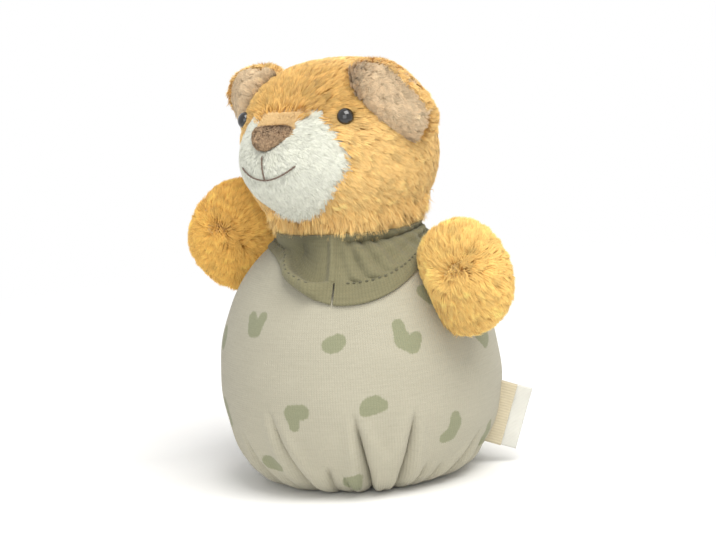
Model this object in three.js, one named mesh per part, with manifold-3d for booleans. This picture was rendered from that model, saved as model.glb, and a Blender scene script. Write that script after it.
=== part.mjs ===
// Soft rattle toy: a plush lion cub with raised mitt paws, a round jersey bag gathered on a flat base,
// a draped neckerchief, and a rattle capsule inside the filling.
// Millimetres, +Z up. The toy faces -Y, its left side is +X, and the origin is the middle of its base.
// Angles round the body are degrees from the front, growing towards the toy's left.

import * as THREE from "three";
import { mergeVertices } from "three/addons/utils/BufferGeometryUtils.js";
import Module from "manifold-3d";

// Fit
const CLEARANCE = 0.3; // between pieces that touch
const SEAM_GAP = 0.4; // between panels that are sewn edge to edge

// Jersey bag of the body
const BELLY_RADIUS = 46;
const BELLY_HEIGHT = 32;
const BASE_RADIUS = 25;
const BODY_HEIGHT = 79;
const NECK_RADIUS = 21;
const SHOULDER_POWER = 4 / 3; // 1 is a round shoulder, more is a sloping one
const JERSEY = 1.2; // cloth with its backing
const SEAM_ANGLE = 118; // side seams between the front and back panels
const GATHERS = 18;
const GATHER_DEPTH = 2.4;
const GATHER_VARIATION = 0.2; // share of the depth that changes round the bag
const GATHER_WAVES = 5; // how often it changes
const CREASE_SHARPNESS = 3;
const GATHER_HEIGHT = 27; // the folds fade out at this height
const RIM_LIFT = 0.5; // the gathered rim clears the floor
const BASE_OPENING = 19; // radius of the gathered hole
const BASE_PANEL = 1.6; // thickness of the base disc

// Rattle capsule and its beads
const CAPSULE_RADIUS = 15;
const CAPSULE_WALL = 1.5;
const CAPSULE_HEIGHT = 36;
const CAPSULE_LIP = 2;
const BEAD_RADIUS = 2.5;
const BEAD_RING = 5.6; // beads lie round one bead in the middle
const BEADS_IN_RING = 4;

// Neck
const PIVOT_RISE = 1;
const PIVOT_HEIGHT = BODY_HEIGHT + PIVOT_RISE;
const NECK_BALL = 16;
const NECK_CLEARANCE = 0.6; // the head and the bag turn round the neck filling
const NECK_DEPTH = 11; // how far the neck filling reaches down from the pivot

// Neckerchief
const KERCHIEF_RADIUS = 23.5; // its upright tube
const KERCHIEF_RISE = 4; // upper edge above the bag
const KERCHIEF_TOP = BODY_HEIGHT + KERCHIEF_RISE;
const KERCHIEF_TOP_DIP = 2.5; // the cowl sags on the right of its seam
const KERCHIEF_FLARE = 1.2;
const KERCHIEF_FRONT_DROP = 15; // hems below the top of the bag
const KERCHIEF_BACK_DROP = 1.5;
const KERCHIEF_FRONT_HEM = BODY_HEIGHT - KERCHIEF_FRONT_DROP;
const KERCHIEF_BACK_HEM = BODY_HEIGHT - KERCHIEF_BACK_DROP;
const KERCHIEF_DROP_ANGLE = 33; // where the hem hangs lowest
const KERCHIEF_RIGHT_SPREAD = 38; // how wide the drop is on each side, in degrees
const KERCHIEF_LEFT_SPREAD = 52;
const KERCHIEF_CLOTH = 1.3;
const KERCHIEF_EASE = 0.3; // it lies loosely on the bag
const HEM_BAND = 0.7; // how much thicker the hem is
const HEM_SHARE = 0.42; // part of the drop that the hem takes
const HEM_STEP = 0.03; // part of the drop over which the hem ends
const HEM_SLOPE = 0.6; // how far the outer side stands above the inner one, for each mm of cloth
const TUBE_SLOPE = 0.3;
const FOLD_DEPTH = 1.3;
const FOLDS = 5;
const FOLD_TURN = 34; // where the first fold sits, in degrees of its wave
const NOTCH_ANGLE = 24; // the hem's seam, left open at its end
const NOTCH_WIDTH = 1.2;
const NOTCH_HEIGHT = 5;

// Head
const HEAD_RISE = 28; // middle of the head above the neck pivot
const HEAD_HALF_WIDTH = 31;
const HEAD_HALF_DEPTH = 29.5;
const HEAD_HALF_HEIGHT = 28.5;
const HEAD_SQUARENESS = 2.3; // 2 is an ellipsoid
const HEAD_TILT = -2.5;
const HEAD_TURN = -6.5; // towards the toy's right
const MUZZLE_FORWARD = 18;
const MUZZLE_UP = -1;
const MUZZLE_HALF_WIDTH = 20.5;
const MUZZLE_HALF_DEPTH = 20.5;
const MUZZLE_HALF_HEIGHT = 16;
const FACE_BLEND = 7; // rounding between muzzle and face
const PLUSH = 2.4; // backing with its dense pile
const HEAD_SEAM_BACK = -4; // the seam that holds the ears, a little before the middle

// Face
const PATCH_HALF_WIDTH = 21.5;
const PATCH_WIDEST = -2; // height above the middle of the head
const PATCH_BOTTOM = -18;
const PATCH_TOP = 14.4;
const PATCH_TOP_HALF_WIDTH = 11.5;
const PATCH_CHIN = [0.72, 0.45]; // lower corner: shares of the half width and of the height to there
const PATCH_BROW = [0.3, 0.52]; // upper corner: shares of the way in and up from the widest place
const BRIDGE_HALF_WIDTH = 7;
const BRIDGE_TOP = 15;
const NOSE_HALF_WIDTH = 7.6;
const NOSE_TOP = 11;
const NOSE_BOTTOM = 4.6;
const NOSE_THICKNESS = 1.8;
const NOSE_CORNERS = [[0.55, 0.22], [1, 0.72], [0.8, 1]]; // shares of its half width and height
const MOUTH_TOP = 2.8;
const MOUTH_LOW = -5;
const SMILE_HALF_WIDTH = 11;
const SMILE_RISE = 4;
const STITCH_RADIUS = 0.5;

// Eyes
const EYE_RADIUS = 2.7;
const EYE_DOME = 2.3;
const EYE_OUT = 21;
const EYE_UP = 12.2;
const POST_RADIUS = 1.1;
const POST_LENGTH = 7;
const WASHER_RADIUS = 4;
const WASHER_THICKNESS = 1.2;

// Ears
const EAR_HALF_WIDTH = 18;
const EAR_HEIGHT = 19;
const EAR_FRONT = 2.4;
const EAR_BACK = 3;
const EAR_RISE = 25; // middle of the ear's chord from the middle of the head
const EAR_ANGLE = 64; // how far down the side the ear sits, from straight up
const EAR_CURL = 3; // the tip bends forward
const EAR_SEAM_SHARE = 0.32; // how much of its thickness is left at the seam
const EAR_SWELL = 7; // length over which it grows to its full thickness

// Arms
const ARM_LEFT_ANGLE = 77;
const ARM_LEFT_DROP = 16.5; // shoulders below the top of the bag
const ARM_LEFT_HEIGHT = BODY_HEIGHT - ARM_LEFT_DROP;
const ARM_RIGHT_ANGLE = 87; // the right paw sits further back and higher
const ARM_RIGHT_DROP = 8.5;
const ARM_RIGHT_HEIGHT = BODY_HEIGHT - ARM_RIGHT_DROP;
const ARM_LENGTH = 29;
const ARM_HALF_WIDTH = 18;
const ARM_HALF_THICKNESS = 11.5;
const ARM_SEAM_HALF_WIDTH = 10.5;
const ARM_SEAM_THICKNESS = 4;
const ARM_END_SQUARENESS = 2.6;
const ARM_EDGE_FLATNESS = 0.1; // 0 is a sharp round edge at the seam
const ARM_WIDEST = 0.5; // share of its length
const ARM_ROOM = 2; // the neckerchief clears the swinging arms

// Labels
const LABEL_WIDTH = 21; // along the seam
const LABEL_MIDDLE = 16.5; // height
const LABEL_LEAN = 12; // follows the slope of the bag
const WOVEN_REACH = 4.2;
const WOVEN_THICKNESS = 0.8;
const CARE_REACH = 6.7;
const CARE_THICKNESS = 0.5;

const looks = {
  yellowPlush: { color: 0xe0b066, roughness: 0.95, metalness: 0 },
  whitePlush: { color: 0xf0ede2, roughness: 0.95, metalness: 0 },
  tanPlush: { color: 0xc8ad88, roughness: 0.95, metalness: 0 },
  bridgePlush: { color: 0xd9b37c, roughness: 0.95, metalness: 0 },
  nosePlush: { color: 0x8a6c4f, roughness: 0.9, metalness: 0 },
  thread: { color: 0x5b4334, roughness: 0.8, metalness: 0 },
  eye: { color: 0x120c08, roughness: 0.12, metalness: 0 },
  jersey: { color: 0xc8c1aa, roughness: 0.9, metalness: 0 },
  sage: { color: 0x87825f, roughness: 0.9, metalness: 0 },
  wovenLabel: { color: 0xd2c5a9, roughness: 0.8, metalness: 0 },
  careLabel: { color: 0xe9e7de, roughness: 0.7, metalness: 0 },
  filling: { color: 0xf4f2ee, roughness: 1, metalness: 0 },
  washer: { color: 0xe6e4dc, roughness: 0.5, metalness: 0 },
  capsule: { color: 0xdfe4e6, roughness: 0.3, metalness: 0 },
  bead: { color: 0xb9c0c4, roughness: 0.4, metalness: 0 },
};

const wasm = await Module();
wasm.setup();

// A closed geometry as a solid that can be joined and cut.
function solid(geometry) {
  const bare = new THREE.BufferGeometry();
  bare.setAttribute("position", geometry.getAttribute("position").clone());
  bare.setIndex(geometry.index);
  const merged = mergeVertices(bare, 1e-4);
  return new wasm.Manifold(
    new wasm.Mesh({
      numProp: 3,
      vertProperties: merged.attributes.position.array,
      triVerts: new Uint32Array(merged.index.array),
    }),
  );
}

function geometryOf(body) {
  const made = body.getMesh();
  const geometry = new THREE.BufferGeometry();
  geometry.setAttribute("position", new THREE.BufferAttribute(made.vertProperties, 3));
  geometry.setIndex(new THREE.BufferAttribute(made.triVerts, 1));
  geometry.computeVertexNormals();
  return geometry;
}

function piece(name, shape, look) {
  const geometry = shape.isBufferGeometry ? shape : geometryOf(shape);
  const mesh = new THREE.Mesh(geometry, new THREE.MeshStandardMaterial(look));
  mesh.name = name;
  return mesh;
}

// Moves each vertex of a geometry by a function of its place and its number.
function warp(geometry, move) {
  const places = geometry.getAttribute("position");
  const vertex = new THREE.Vector3();
  for (let i = 0; i < places.count; i++) {
    vertex.fromBufferAttribute(places, i);
    move(vertex, i);
    places.setXYZ(i, vertex.x, vertex.y, vertex.z);
  }
  return geometry;
}

// A profile of [radius, height] points turned round Z, with its first column at the front.
function turned(points, segments) {
  const profile = points.map(([radius, height]) => new THREE.Vector2(Math.max(radius, 0), height));
  return new THREE.LatheGeometry(profile, segments).rotateX(Math.PI / 2);
}

function box(width, depth, height, x, y, z) {
  return solid(new THREE.BoxGeometry(width, depth, height).translate(x, y, z));
}

// A flat outline in the front view, as a prism through the face.
function facePrism(outline, depth) {
  const options = { depth, bevelEnabled: false, curveSegments: 8 };
  return solid(new THREE.ExtrudeGeometry(outline, options).rotateX(Math.PI / 2));
}

const radians = THREE.MathUtils.degToRad;
const lerp = THREE.MathUtils.lerp;
const smoothstep = THREE.MathUtils.smoothstep;
const REACH = 4 * BODY_HEIGHT; // longer than the toy, for cutting shapes

// Body

// The bag's outline at a latitude from -90 at the rim to 90 at the neck, pushed out along its normal.
function bagPoint(latitude, offset) {
  const at = (angle) => {
    const across = Math.max(Math.cos(radians(angle)), 0);
    const up = Math.sin(radians(angle));
    if (angle < 0) {
      return [
        BASE_RADIUS + (BELLY_RADIUS - BASE_RADIUS) * across,
        RIM_LIFT + (BELLY_HEIGHT - RIM_LIFT) * (1 + up),
      ];
    }
    return [
      NECK_RADIUS + (BELLY_RADIUS - NECK_RADIUS) * across ** SHOULDER_POWER,
      BELLY_HEIGHT + (BODY_HEIGHT - BELLY_HEIGHT) * up,
    ];
  };
  const [radius, height] = at(latitude);
  const [radiusBefore, heightBefore] = at(Math.max(latitude - 1, -90));
  const [radiusAfter, heightAfter] = at(Math.min(latitude + 1, 90));
  const alongRadius = radiusAfter - radiusBefore;
  const alongHeight = heightAfter - heightBefore;
  const length = Math.hypot(alongRadius, alongHeight);
  const normal = [alongHeight / length, -alongRadius / length];
  return { radius: radius + normal[0] * offset, height: height + normal[1] * offset, normal };
}

// Radius of the bend of the bag's outline at a latitude.
function bagBend(latitude) {
  const step = 4;
  const below = bagPoint(latitude - step, 0);
  const above = bagPoint(latitude + step, 0);
  const turn = Math.acos(below.normal[0] * above.normal[0] + below.normal[1] * above.normal[1]);
  return Math.hypot(above.radius - below.radius, above.height - below.height) / turn;
}

// Radius of the bag at a height, above its belly.
function shoulderRadius(height) {
  const up = Math.min((height - BELLY_HEIGHT) / (BODY_HEIGHT - BELLY_HEIGHT), 1);
  return NECK_RADIUS + (BELLY_RADIUS - NECK_RADIUS) * (1 - up * up) ** (SHOULDER_POWER / 2);
}

function shoulderLatitude(height) {
  const up = (height - BELLY_HEIGHT) / (BODY_HEIGHT - BELLY_HEIGHT);
  return THREE.MathUtils.radToDeg(Math.asin(Math.min(up, 1)));
}

function gatherDepth(height) {
  return GATHER_DEPTH * (1 - smoothstep(height, 0, GATHER_HEIGHT));
}

// Narrow creases between round folds, some deeper than others. The side seam runs along a fold.
function crease(angle) {
  const wave = 0.5 - 0.5 * Math.cos(GATHERS * (angle - radians(SEAM_ANGLE)));
  const depth = 1 - GATHER_VARIATION + GATHER_VARIATION * Math.sin(GATHER_WAVES * angle + 1);
  return wave ** CREASE_SHARPNESS * depth;
}

const BAG_LATITUDES = [-90, -66, -44, -22, 0, 23, 44, 62, 77, 90];
const GATHER_COLUMNS = 4 * GATHERS;
const SMOOTH_COLUMNS = 32;
const BALL_COLUMNS = 20;
const BALL_STEPS = 12;
const NECK_STEPS = 9;

// The bag as a closed form with its gathers, grown by an offset.
function gatheredBag(offset) {
  const rows = BAG_LATITUDES.map((latitude) => bagPoint(latitude, offset));
  const points = rows.map(({ radius, height }) => [radius, height]);
  const outline = [[0, points[0][1]], ...points, [0, points.at(-1)[1]]];
  const geometry = turned(outline, GATHER_COLUMNS);
  warp(geometry, (vertex, i) => {
    const row = rows[(i % outline.length) - 1];
    if (!row) return;
    const angle = Math.atan2(vertex.x, -vertex.y);
    const depth = gatherDepth(row.height) * crease(angle);
    const radius = row.radius - row.normal[0] * depth;
    vertex.set(radius * Math.sin(angle), -radius * Math.cos(angle), row.height - row.normal[1] * depth);
  });
  return solid(geometry);
}

// The smooth form inside the gathers, shrunk by an inset.
function innerBag(inset) {
  const points = BAG_LATITUDES.map((latitude) => {
    const fold = gatherDepth(bagPoint(latitude, 0).height);
    const { radius, height } = bagPoint(latitude, -inset - fold);
    return [radius, height];
  });
  return [[0, points[0][1]], ...points, [0, points.at(-1)[1]]];
}

// The wedge behind both side seams, narrowed by an inset.
function backWedge(inset) {
  const half = radians(180 - SEAM_ANGLE);
  const apex = inset / Math.sin(half);
  const wedge = new THREE.Shape();
  wedge.moveTo(0, apex);
  wedge.lineTo(REACH * Math.sin(half), apex + REACH * Math.cos(half));
  wedge.lineTo(-REACH * Math.sin(half), apex + REACH * Math.cos(half));
  const geometry = new THREE.ExtrudeGeometry(wedge, { depth: REACH, bevelEnabled: false });
  return solid(geometry.translate(0, 0, -REACH / 4));
}

const bagForm = gatheredBag(0);
const bagKeepOut = gatheredBag(CLEARANCE);
const neckOpening = NECK_RADIUS - JERSEY;

function makeBody(group) {
  const hollow = solid(turned(innerBag(JERSEY), SMOOTH_COLUMNS));
  const baseHole = solid(new THREE.CylinderGeometry(BASE_OPENING, BASE_OPENING, BELLY_HEIGHT, SMOOTH_COLUMNS)
    .rotateX(Math.PI / 2));
  const neckHole = solid(new THREE.CylinderGeometry(neckOpening, neckOpening, BELLY_HEIGHT, SMOOTH_COLUMNS)
    .rotateX(Math.PI / 2).translate(0, 0, BODY_HEIGHT));
  const cover = bagForm.subtract(hollow).subtract(baseHole).subtract(neckHole);
  group.add(piece("body_front_panel", cover.subtract(backWedge(-SEAM_GAP / 2)), looks.jersey));
  group.add(piece("body_back_panel", cover.intersect(backWedge(SEAM_GAP / 2)), looks.jersey));

  const disc = BASE_OPENING - CLEARANCE;
  group.add(piece("base_panel",
    turned([[0, 0], [disc, 0], [disc, BASE_PANEL], [0, BASE_PANEL]], SMOOTH_COLUMNS), looks.jersey));
}

// Filling in two charges, with the rattle capsule bedded between them.
function makeFilling(group) {
  const floor = BASE_PANEL + CLEARANCE;
  const split = SEAM_GAP / 2;
  const bed = CAPSULE_RADIUS + CLEARANCE;
  const capsulePocket = turned(arc(bed, -bed, bed, BALL_STEPS), BALL_COLUMNS);
  const fill = solid(turned(innerBag(JERSEY + CLEARANCE), SMOOTH_COLUMNS))
    .subtract(box(REACH, REACH, REACH, 0, 0, floor - REACH / 2))
    .subtract(solid(capsulePocket.translate(0, 0, CAPSULE_HEIGHT)))
    .subtract(solid(turned(neckOutline(NECK_CLEARANCE), BALL_COLUMNS).translate(0, 0, PIVOT_HEIGHT)));
  const above = box(REACH, REACH, REACH, 0, 0, CAPSULE_HEIGHT + split + REACH / 2);
  const below = box(REACH, REACH, REACH, 0, 0, CAPSULE_HEIGHT - split - REACH / 2);
  group.add(piece("body_stuffing_lower", fill.intersect(below), looks.filling));
  group.add(piece("body_stuffing_upper", fill.intersect(above), looks.filling));
}

// Points of a circle round the origin between two heights.
function arc(radius, fromHeight, toHeight, steps) {
  const from = Math.asin(fromHeight / radius);
  const to = Math.asin(toHeight / radius);
  return Array.from({ length: steps + 1 }, (_, i) => {
    const angle = lerp(from, to, i / steps);
    return [radius * Math.cos(angle), radius * Math.sin(angle)];
  });
}

// Two half shells whose rims lap, the upper one inside.
function makeCapsule(group) {
  const steps = BALL_STEPS / 2;
  const inside = CAPSULE_RADIUS - CAPSULE_WALL;
  const lapOuter = CAPSULE_RADIUS - CAPSULE_WALL / 2;
  const lapInner = lapOuter - CLEARANCE;
  const lower = [
    ...arc(CAPSULE_RADIUS, -CAPSULE_RADIUS, CAPSULE_LIP, steps),
    [lapOuter, CAPSULE_LIP],
    [lapOuter, 0],
    ...arc(inside, 0, -inside, steps),
  ];
  const upper = [
    ...arc(inside, inside, CLEARANCE, steps),
    [lapInner, CLEARANCE],
    [lapInner, CAPSULE_LIP + CLEARANCE],
    ...arc(CAPSULE_RADIUS, CAPSULE_LIP + CLEARANCE, CAPSULE_RADIUS, steps),
  ];
  group.add(piece("rattle_capsule_lower",
    turned(lower, BALL_COLUMNS).translate(0, 0, CAPSULE_HEIGHT), looks.capsule));
  group.add(piece("rattle_capsule_upper",
    turned(upper, BALL_COLUMNS).translate(0, 0, CAPSULE_HEIGHT), looks.capsule));
}

// Loose beads on the floor of the capsule, one in the middle and the others round it.
function makeBeads(group) {
  const travel = CAPSULE_RADIUS - CAPSULE_WALL - BEAD_RADIUS - CLEARANCE;
  const ringDrop = Math.sqrt(travel ** 2 - BEAD_RING ** 2);
  for (let i = 0; i <= BEADS_IN_RING; i++) {
    const bead = piece(`rattle_bead_${i + 1}`, new THREE.SphereGeometry(BEAD_RADIUS, 10, 6), looks.bead);
    const angle = (2 * Math.PI * i) / BEADS_IN_RING;
    if (i === BEADS_IN_RING) bead.position.set(0, 0, CAPSULE_HEIGHT - travel);
    else {
      bead.position.set(BEAD_RING * Math.cos(angle), BEAD_RING * Math.sin(angle), CAPSULE_HEIGHT - ringDrop);
    }
    group.add(bead);
  }
}

// Neck

// The plug of filling in the neck, a ball cut flat below, grown by an offset.
function neckOutline(offset) {
  const radius = NECK_BALL + offset;
  const bottom = -NECK_DEPTH - offset;
  return [[0, bottom], ...arc(radius, bottom, radius, NECK_STEPS)];
}

function makeNeck(group) {
  const plug = piece("neck_stuffing", turned(neckOutline(0), BALL_COLUMNS), looks.filling);
  plug.position.z = PIVOT_HEIGHT;
  group.add(plug);
}

// Neckerchief

const KERCHIEF_COLUMNS = 48;
const KERCHIEF_ROWS = [0, 0.2, HEM_SHARE, HEM_SHARE + HEM_STEP, 0.7, 1];

// The kerchief's hem is low in front, and its upper edge sags there.
function kerchiefHeight(angle, share) {
  const past = THREE.MathUtils.radToDeg(angle) - KERCHIEF_DROP_ANGLE;
  const spread = past < 0 ? KERCHIEF_RIGHT_SPREAD : KERCHIEF_LEFT_SPREAD;
  const sag = Math.max(Math.cos(angle + radians(NOTCH_ANGLE)), 0) ** 2;
  const hem = lerp(KERCHIEF_BACK_HEM, KERCHIEF_FRONT_HEM, Math.exp(-((past / spread) ** 2)));
  return lerp(hem, KERCHIEF_TOP - KERCHIEF_TOP_DIP * sag, share);
}

// It lies on the shoulders and stands up round the neck, with soft folds towards the top.
function kerchiefRadius(angle, share) {
  const height = kerchiefHeight(angle, share);
  const onBody = height < BODY_HEIGHT ? shoulderRadius(height) : NECK_RADIUS;
  const tube = KERCHIEF_RADIUS + KERCHIEF_FLARE * share ** 2;
  const wave = 0.5 + 0.5 * Math.cos(FOLDS * angle + radians(FOLD_TURN));
  const fold = FOLD_DEPTH * wave * Math.sin(Math.PI * share);
  return Math.max(onBody + KERCHIEF_EASE, tube) + fold;
}

// The cloth as a closed band, grown outwards by an offset and inwards by another to keep others out.
function kerchiefForm(offset, inward) {
  const rows = KERCHIEF_ROWS;
  const band = (share) => (share <= HEM_SHARE ? HEM_BAND : 0);
  const loop = [
    ...rows.map((share) => ({ share, out: KERCHIEF_CLOTH + band(share) + offset })),
    ...rows.toReversed().map((share) => ({ share, out: -inward })),
  ];
  const ring = [...loop, loop[0]].map((_, i) => [KERCHIEF_RADIUS, i]);
  const geometry = turned(ring, KERCHIEF_COLUMNS);
  warp(geometry, (vertex, i) => {
    const { share, out } = loop[(i % ring.length) % loop.length];
    const angle = Math.atan2(vertex.x, -vertex.y);
    const grow = share === 0 ? -offset : share === 1 ? offset : 0;
    const radius = kerchiefRadius(angle, share) + CLEARANCE + out;
    const slope = out * (share < HEM_SHARE ? HEM_SLOPE : TUBE_SLOPE);
    const height = kerchiefHeight(angle, share) + grow + slope;
    vertex.set(radius * Math.sin(angle), -radius * Math.cos(angle), height);
  });
  return solid(geometry);
}

function makeKerchief(group) {
  const notch = new THREE.BoxGeometry(NOTCH_WIDTH, REACH, NOTCH_HEIGHT);
  notch.translate(0, -REACH / 2, KERCHIEF_FRONT_HEM + NOTCH_HEIGHT / 2 - CLEARANCE);
  notch.rotateZ(radians(NOTCH_ANGLE));
  const cloth = kerchiefForm(0, 0).subtract(solid(notch));
  group.add(piece("neckerchief", cloth, looks.sage));
}

// Arms

const MITT_SHARES = [0, 0.03, 0.08, 0.18, 0.32, 0.46, 0.6, 0.74, 0.86, 0.95, 1];
const MITT_COLUMNS = 20;

// A flat-sewn mitt: a thin round edge at its seam, swelling to a round end.
// X runs along the seam, Z outwards, and the seam bends with the shoulder under it.
function mittGeometry(shoulderBend) {
  const edge = ARM_SEAM_THICKNESS / 2;
  const grown = (seam, full, share) => {
    if (share < ARM_WIDEST) return lerp(seam, full, Math.sin((Math.PI / 2) * (share / ARM_WIDEST)));
    const past = (share - ARM_WIDEST) / (1 - ARM_WIDEST);
    return full * Math.max(1 - past ** ARM_END_SQUARENESS, 0) ** (1 / ARM_END_SQUARENESS);
  };
  const outline = [[0, 0], ...MITT_SHARES.map((share) => [share < 1 ? 1 : 0, share * ARM_LENGTH])];
  return warp(turned(outline, MITT_COLUMNS), (vertex) => {
    const share = vertex.z / ARM_LENGTH;
    const rounding = Math.sqrt(1 - (1 - ARM_EDGE_FLATNESS) * Math.max(1 - vertex.z / edge, 0) ** 2);
    vertex.x *= grown(ARM_SEAM_HALF_WIDTH, ARM_HALF_WIDTH, share);
    vertex.y *= grown(edge, ARM_HALF_THICKNESS, share) * rounding;
    vertex.z -= ((1 - share) * vertex.x ** 2) / (2 * shoulderBend);
  });
}

function makeArm(group, name, degrees, height) {
  const latitude = shoulderLatitude(height);
  const { radius, height: seat, normal } = bagPoint(latitude, CLEARANCE);
  const shoulderBend = bagBend(latitude);
  const angle = radians(degrees);
  const outward = new THREE.Vector3(Math.sin(angle), -Math.cos(angle), 0);
  const up = new THREE.Vector3(0, 0, 1);
  const along = outward.clone().multiplyScalar(normal[0]).addScaledVector(up, normal[1]);
  const seam = outward.clone().multiplyScalar(-normal[1]).addScaledVector(up, normal[0]);
  const place = new THREE.Matrix4().makeBasis(seam, along.clone().cross(seam), along);
  place.setPosition(outward.clone().multiplyScalar(radius).addScaledVector(up, seat));
  const mitt = solid(mittGeometry(shoulderBend).applyMatrix4(place));
  const arm = mitt.subtract(bagKeepOut).subtract(kerchiefForm(ARM_ROOM, NECK_RADIUS / 2));
  group.add(piece(name, arm, looks.yellowPlush));
}

// Labels

// Thin tabs sewn into the left side seam, one behind the other.
function makeLabels(group) {
  const angle = radians(SEAM_ANGLE);
  const tabs = [
    {
      name: "woven_label",
      reach: WOVEN_REACH,
      thickness: WOVEN_THICKNESS,
      behind: 0,
      look: looks.wovenLabel,
    },
    {
      name: "care_label",
      reach: CARE_REACH,
      thickness: CARE_THICKNESS,
      behind: (WOVEN_THICKNESS + CARE_THICKNESS) / 2 + CLEARANCE,
      look: looks.careLabel,
    },
  ];
  for (const { name, reach, thickness, behind, look } of tabs) {
    const tab = new THREE.BoxGeometry(2 * reach, thickness, LABEL_WIDTH);
    tab.rotateY(radians(LABEL_LEAN)).translate(BELLY_RADIUS, behind, LABEL_MIDDLE);
    tab.rotateZ(angle - Math.PI / 2);
    group.add(piece(name, solid(tab).subtract(bagKeepOut), look));
  }
}

// Head, in its own frame: the origin is the neck pivot

const FACE_REACH = HEAD_HALF_DEPTH + MUZZLE_FORWARD + MUZZLE_HALF_DEPTH; // farther forward than the face
const HEAD_COLUMNS = 36;
const HEAD_INNER_COLUMNS = 24;
const headMiddle = new THREE.Vector3(0, 0, HEAD_RISE);

// Distance from the middle of the head to its surface: a squared ball with the muzzle blended in.
function headRadius(direction) {
  const power = HEAD_SQUARENESS;
  const skull = (Math.abs(direction.x / HEAD_HALF_WIDTH) ** power
    + Math.abs(direction.y / HEAD_HALF_DEPTH) ** power
    + Math.abs(direction.z / HEAD_HALF_HEIGHT) ** power) ** (-1 / power);
  const scale = new THREE.Vector3(1 / MUZZLE_HALF_WIDTH, 1 / MUZZLE_HALF_DEPTH, 1 / MUZZLE_HALF_HEIGHT);
  const ray = direction.clone().multiply(scale);
  const middle = new THREE.Vector3(0, -MUZZLE_FORWARD, MUZZLE_UP).multiply(scale);
  const reach = ray.dot(middle);
  const inside = reach ** 2 - ray.lengthSq() * (middle.lengthSq() - 1);
  const muzzle = (reach + Math.sqrt(Math.max(inside, 0))) / ray.lengthSq();
  const blend = Math.max(FACE_BLEND - Math.abs(skull - muzzle), 0) / FACE_BLEND;
  return Math.max(skull, muzzle) + (blend ** 2 * FACE_BLEND) / 4;
}

// The whole head as a closed form, grown by an offset.
function headForm(offset, columns) {
  const sphere = new THREE.SphereGeometry(1, columns, columns / 2).rotateX(Math.PI / 2);
  return solid(warp(sphere, (vertex) => {
    vertex.normalize();
    vertex.multiplyScalar(headRadius(vertex) + offset).add(headMiddle);
  }));
}

// The point of the face in front of a place in the front view, and the way out there.
function facePoint(out, up, offset) {
  let near = 0;
  let far = FACE_REACH;
  for (let i = 0; i < 40; i++) {
    const middle = (near + far) / 2;
    const place = new THREE.Vector3(out, -middle, up);
    if (place.length() < headRadius(place.clone().normalize()) + offset) near = middle;
    else far = middle;
  }
  return new THREE.Vector3(out, -near, up).add(headMiddle);
}

function faceNormal(out, up) {
  const step = 0.5;
  const across = facePoint(out + step, up, 0).sub(facePoint(out - step, up, 0));
  const along = facePoint(out, up + step, 0).sub(facePoint(out, up - step, 0));
  return across.cross(along).normalize();
}

// A closed outline in the front view through points of one half, from bottom to top, grown by an offset.
function mirroredOutline(half, offset) {
  const right = half.map(([x, y]) => new THREE.Vector2(x, y));
  const left = half.slice(1, -1).toReversed().map(([x, y]) => new THREE.Vector2(-x, y));
  const points = new THREE.SplineCurve([...right, ...left, right[0]]).getPoints(40).slice(0, -1);
  const middle = (half[0][1] + half.at(-1)[1]) / 2;
  return new THREE.Shape(points.map((point) => {
    const away = new THREE.Vector2(point.x, point.y - middle);
    return point.clone().addScaledVector(away.normalize(), offset).add(new THREE.Vector2(0, HEAD_RISE));
  }));
}

function patchOutline(offset) {
  return mirroredOutline([
    [0, PATCH_BOTTOM],
    [PATCH_HALF_WIDTH * PATCH_CHIN[0], lerp(PATCH_BOTTOM, PATCH_WIDEST, PATCH_CHIN[1])],
    [PATCH_HALF_WIDTH, PATCH_WIDEST],
    [
      lerp(PATCH_HALF_WIDTH, PATCH_TOP_HALF_WIDTH, PATCH_BROW[0]),
      lerp(PATCH_WIDEST, PATCH_TOP, PATCH_BROW[1]),
    ],
    [PATCH_TOP_HALF_WIDTH, PATCH_TOP],
    [0, PATCH_TOP],
  ], offset);
}

// The bridge runs from under the nose's top edge to the forehead.
function bridgeOutline(offset) {
  const low = (NOSE_BOTTOM + NOSE_TOP) / 2;
  const half = BRIDGE_HALF_WIDTH + offset;
  const outline = new THREE.Shape();
  outline.moveTo(-half, HEAD_RISE + low - offset);
  outline.lineTo(half, HEAD_RISE + low - offset);
  outline.lineTo(half, HEAD_RISE + BRIDGE_TOP + offset);
  outline.lineTo(-half, HEAD_RISE + BRIDGE_TOP + offset);
  return outline;
}

function noseOutline() {
  const corners = NOSE_CORNERS.map(([out, up]) => [NOSE_HALF_WIDTH * out, lerp(NOSE_BOTTOM, NOSE_TOP, up)]);
  return mirroredOutline([[0, NOSE_BOTTOM], ...corners, [0, NOSE_TOP]], 0);
}

const headOuter = headForm(0, HEAD_COLUMNS);
const headInner = headForm(-PLUSH, HEAD_INNER_COLUMNS);
const headFill = headForm(-PLUSH - CLEARANCE, HEAD_INNER_COLUMNS);
const headKeepOut = headForm(CLEARANCE, HEAD_COLUMNS);
const socketRadius = NECK_BALL + NECK_CLEARANCE;
const neckSocket = solid(turned(arc(socketRadius, -socketRadius, socketRadius, BALL_STEPS), BALL_COLUMNS));

function eyeAxis(side) {
  const base = facePoint(side * EYE_OUT, EYE_UP, 0);
  const turn = new THREE.Quaternion().setFromUnitVectors(
    new THREE.Vector3(0, 0, 1), faceNormal(side * EYE_OUT, EYE_UP));
  return new THREE.Matrix4().compose(base, turn, new THREE.Vector3(1, 1, 1));
}

// A rod along an eye's axis, from a depth under the surface up to another.
function eyeRod(side, radius, from, to) {
  const rod = turned([[0, from], [radius, from], [radius, to], [0, to]], 12);
  return solid(rod.applyMatrix4(eyeAxis(side)));
}

const washerSeat = PLUSH + CLEARANCE;

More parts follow.
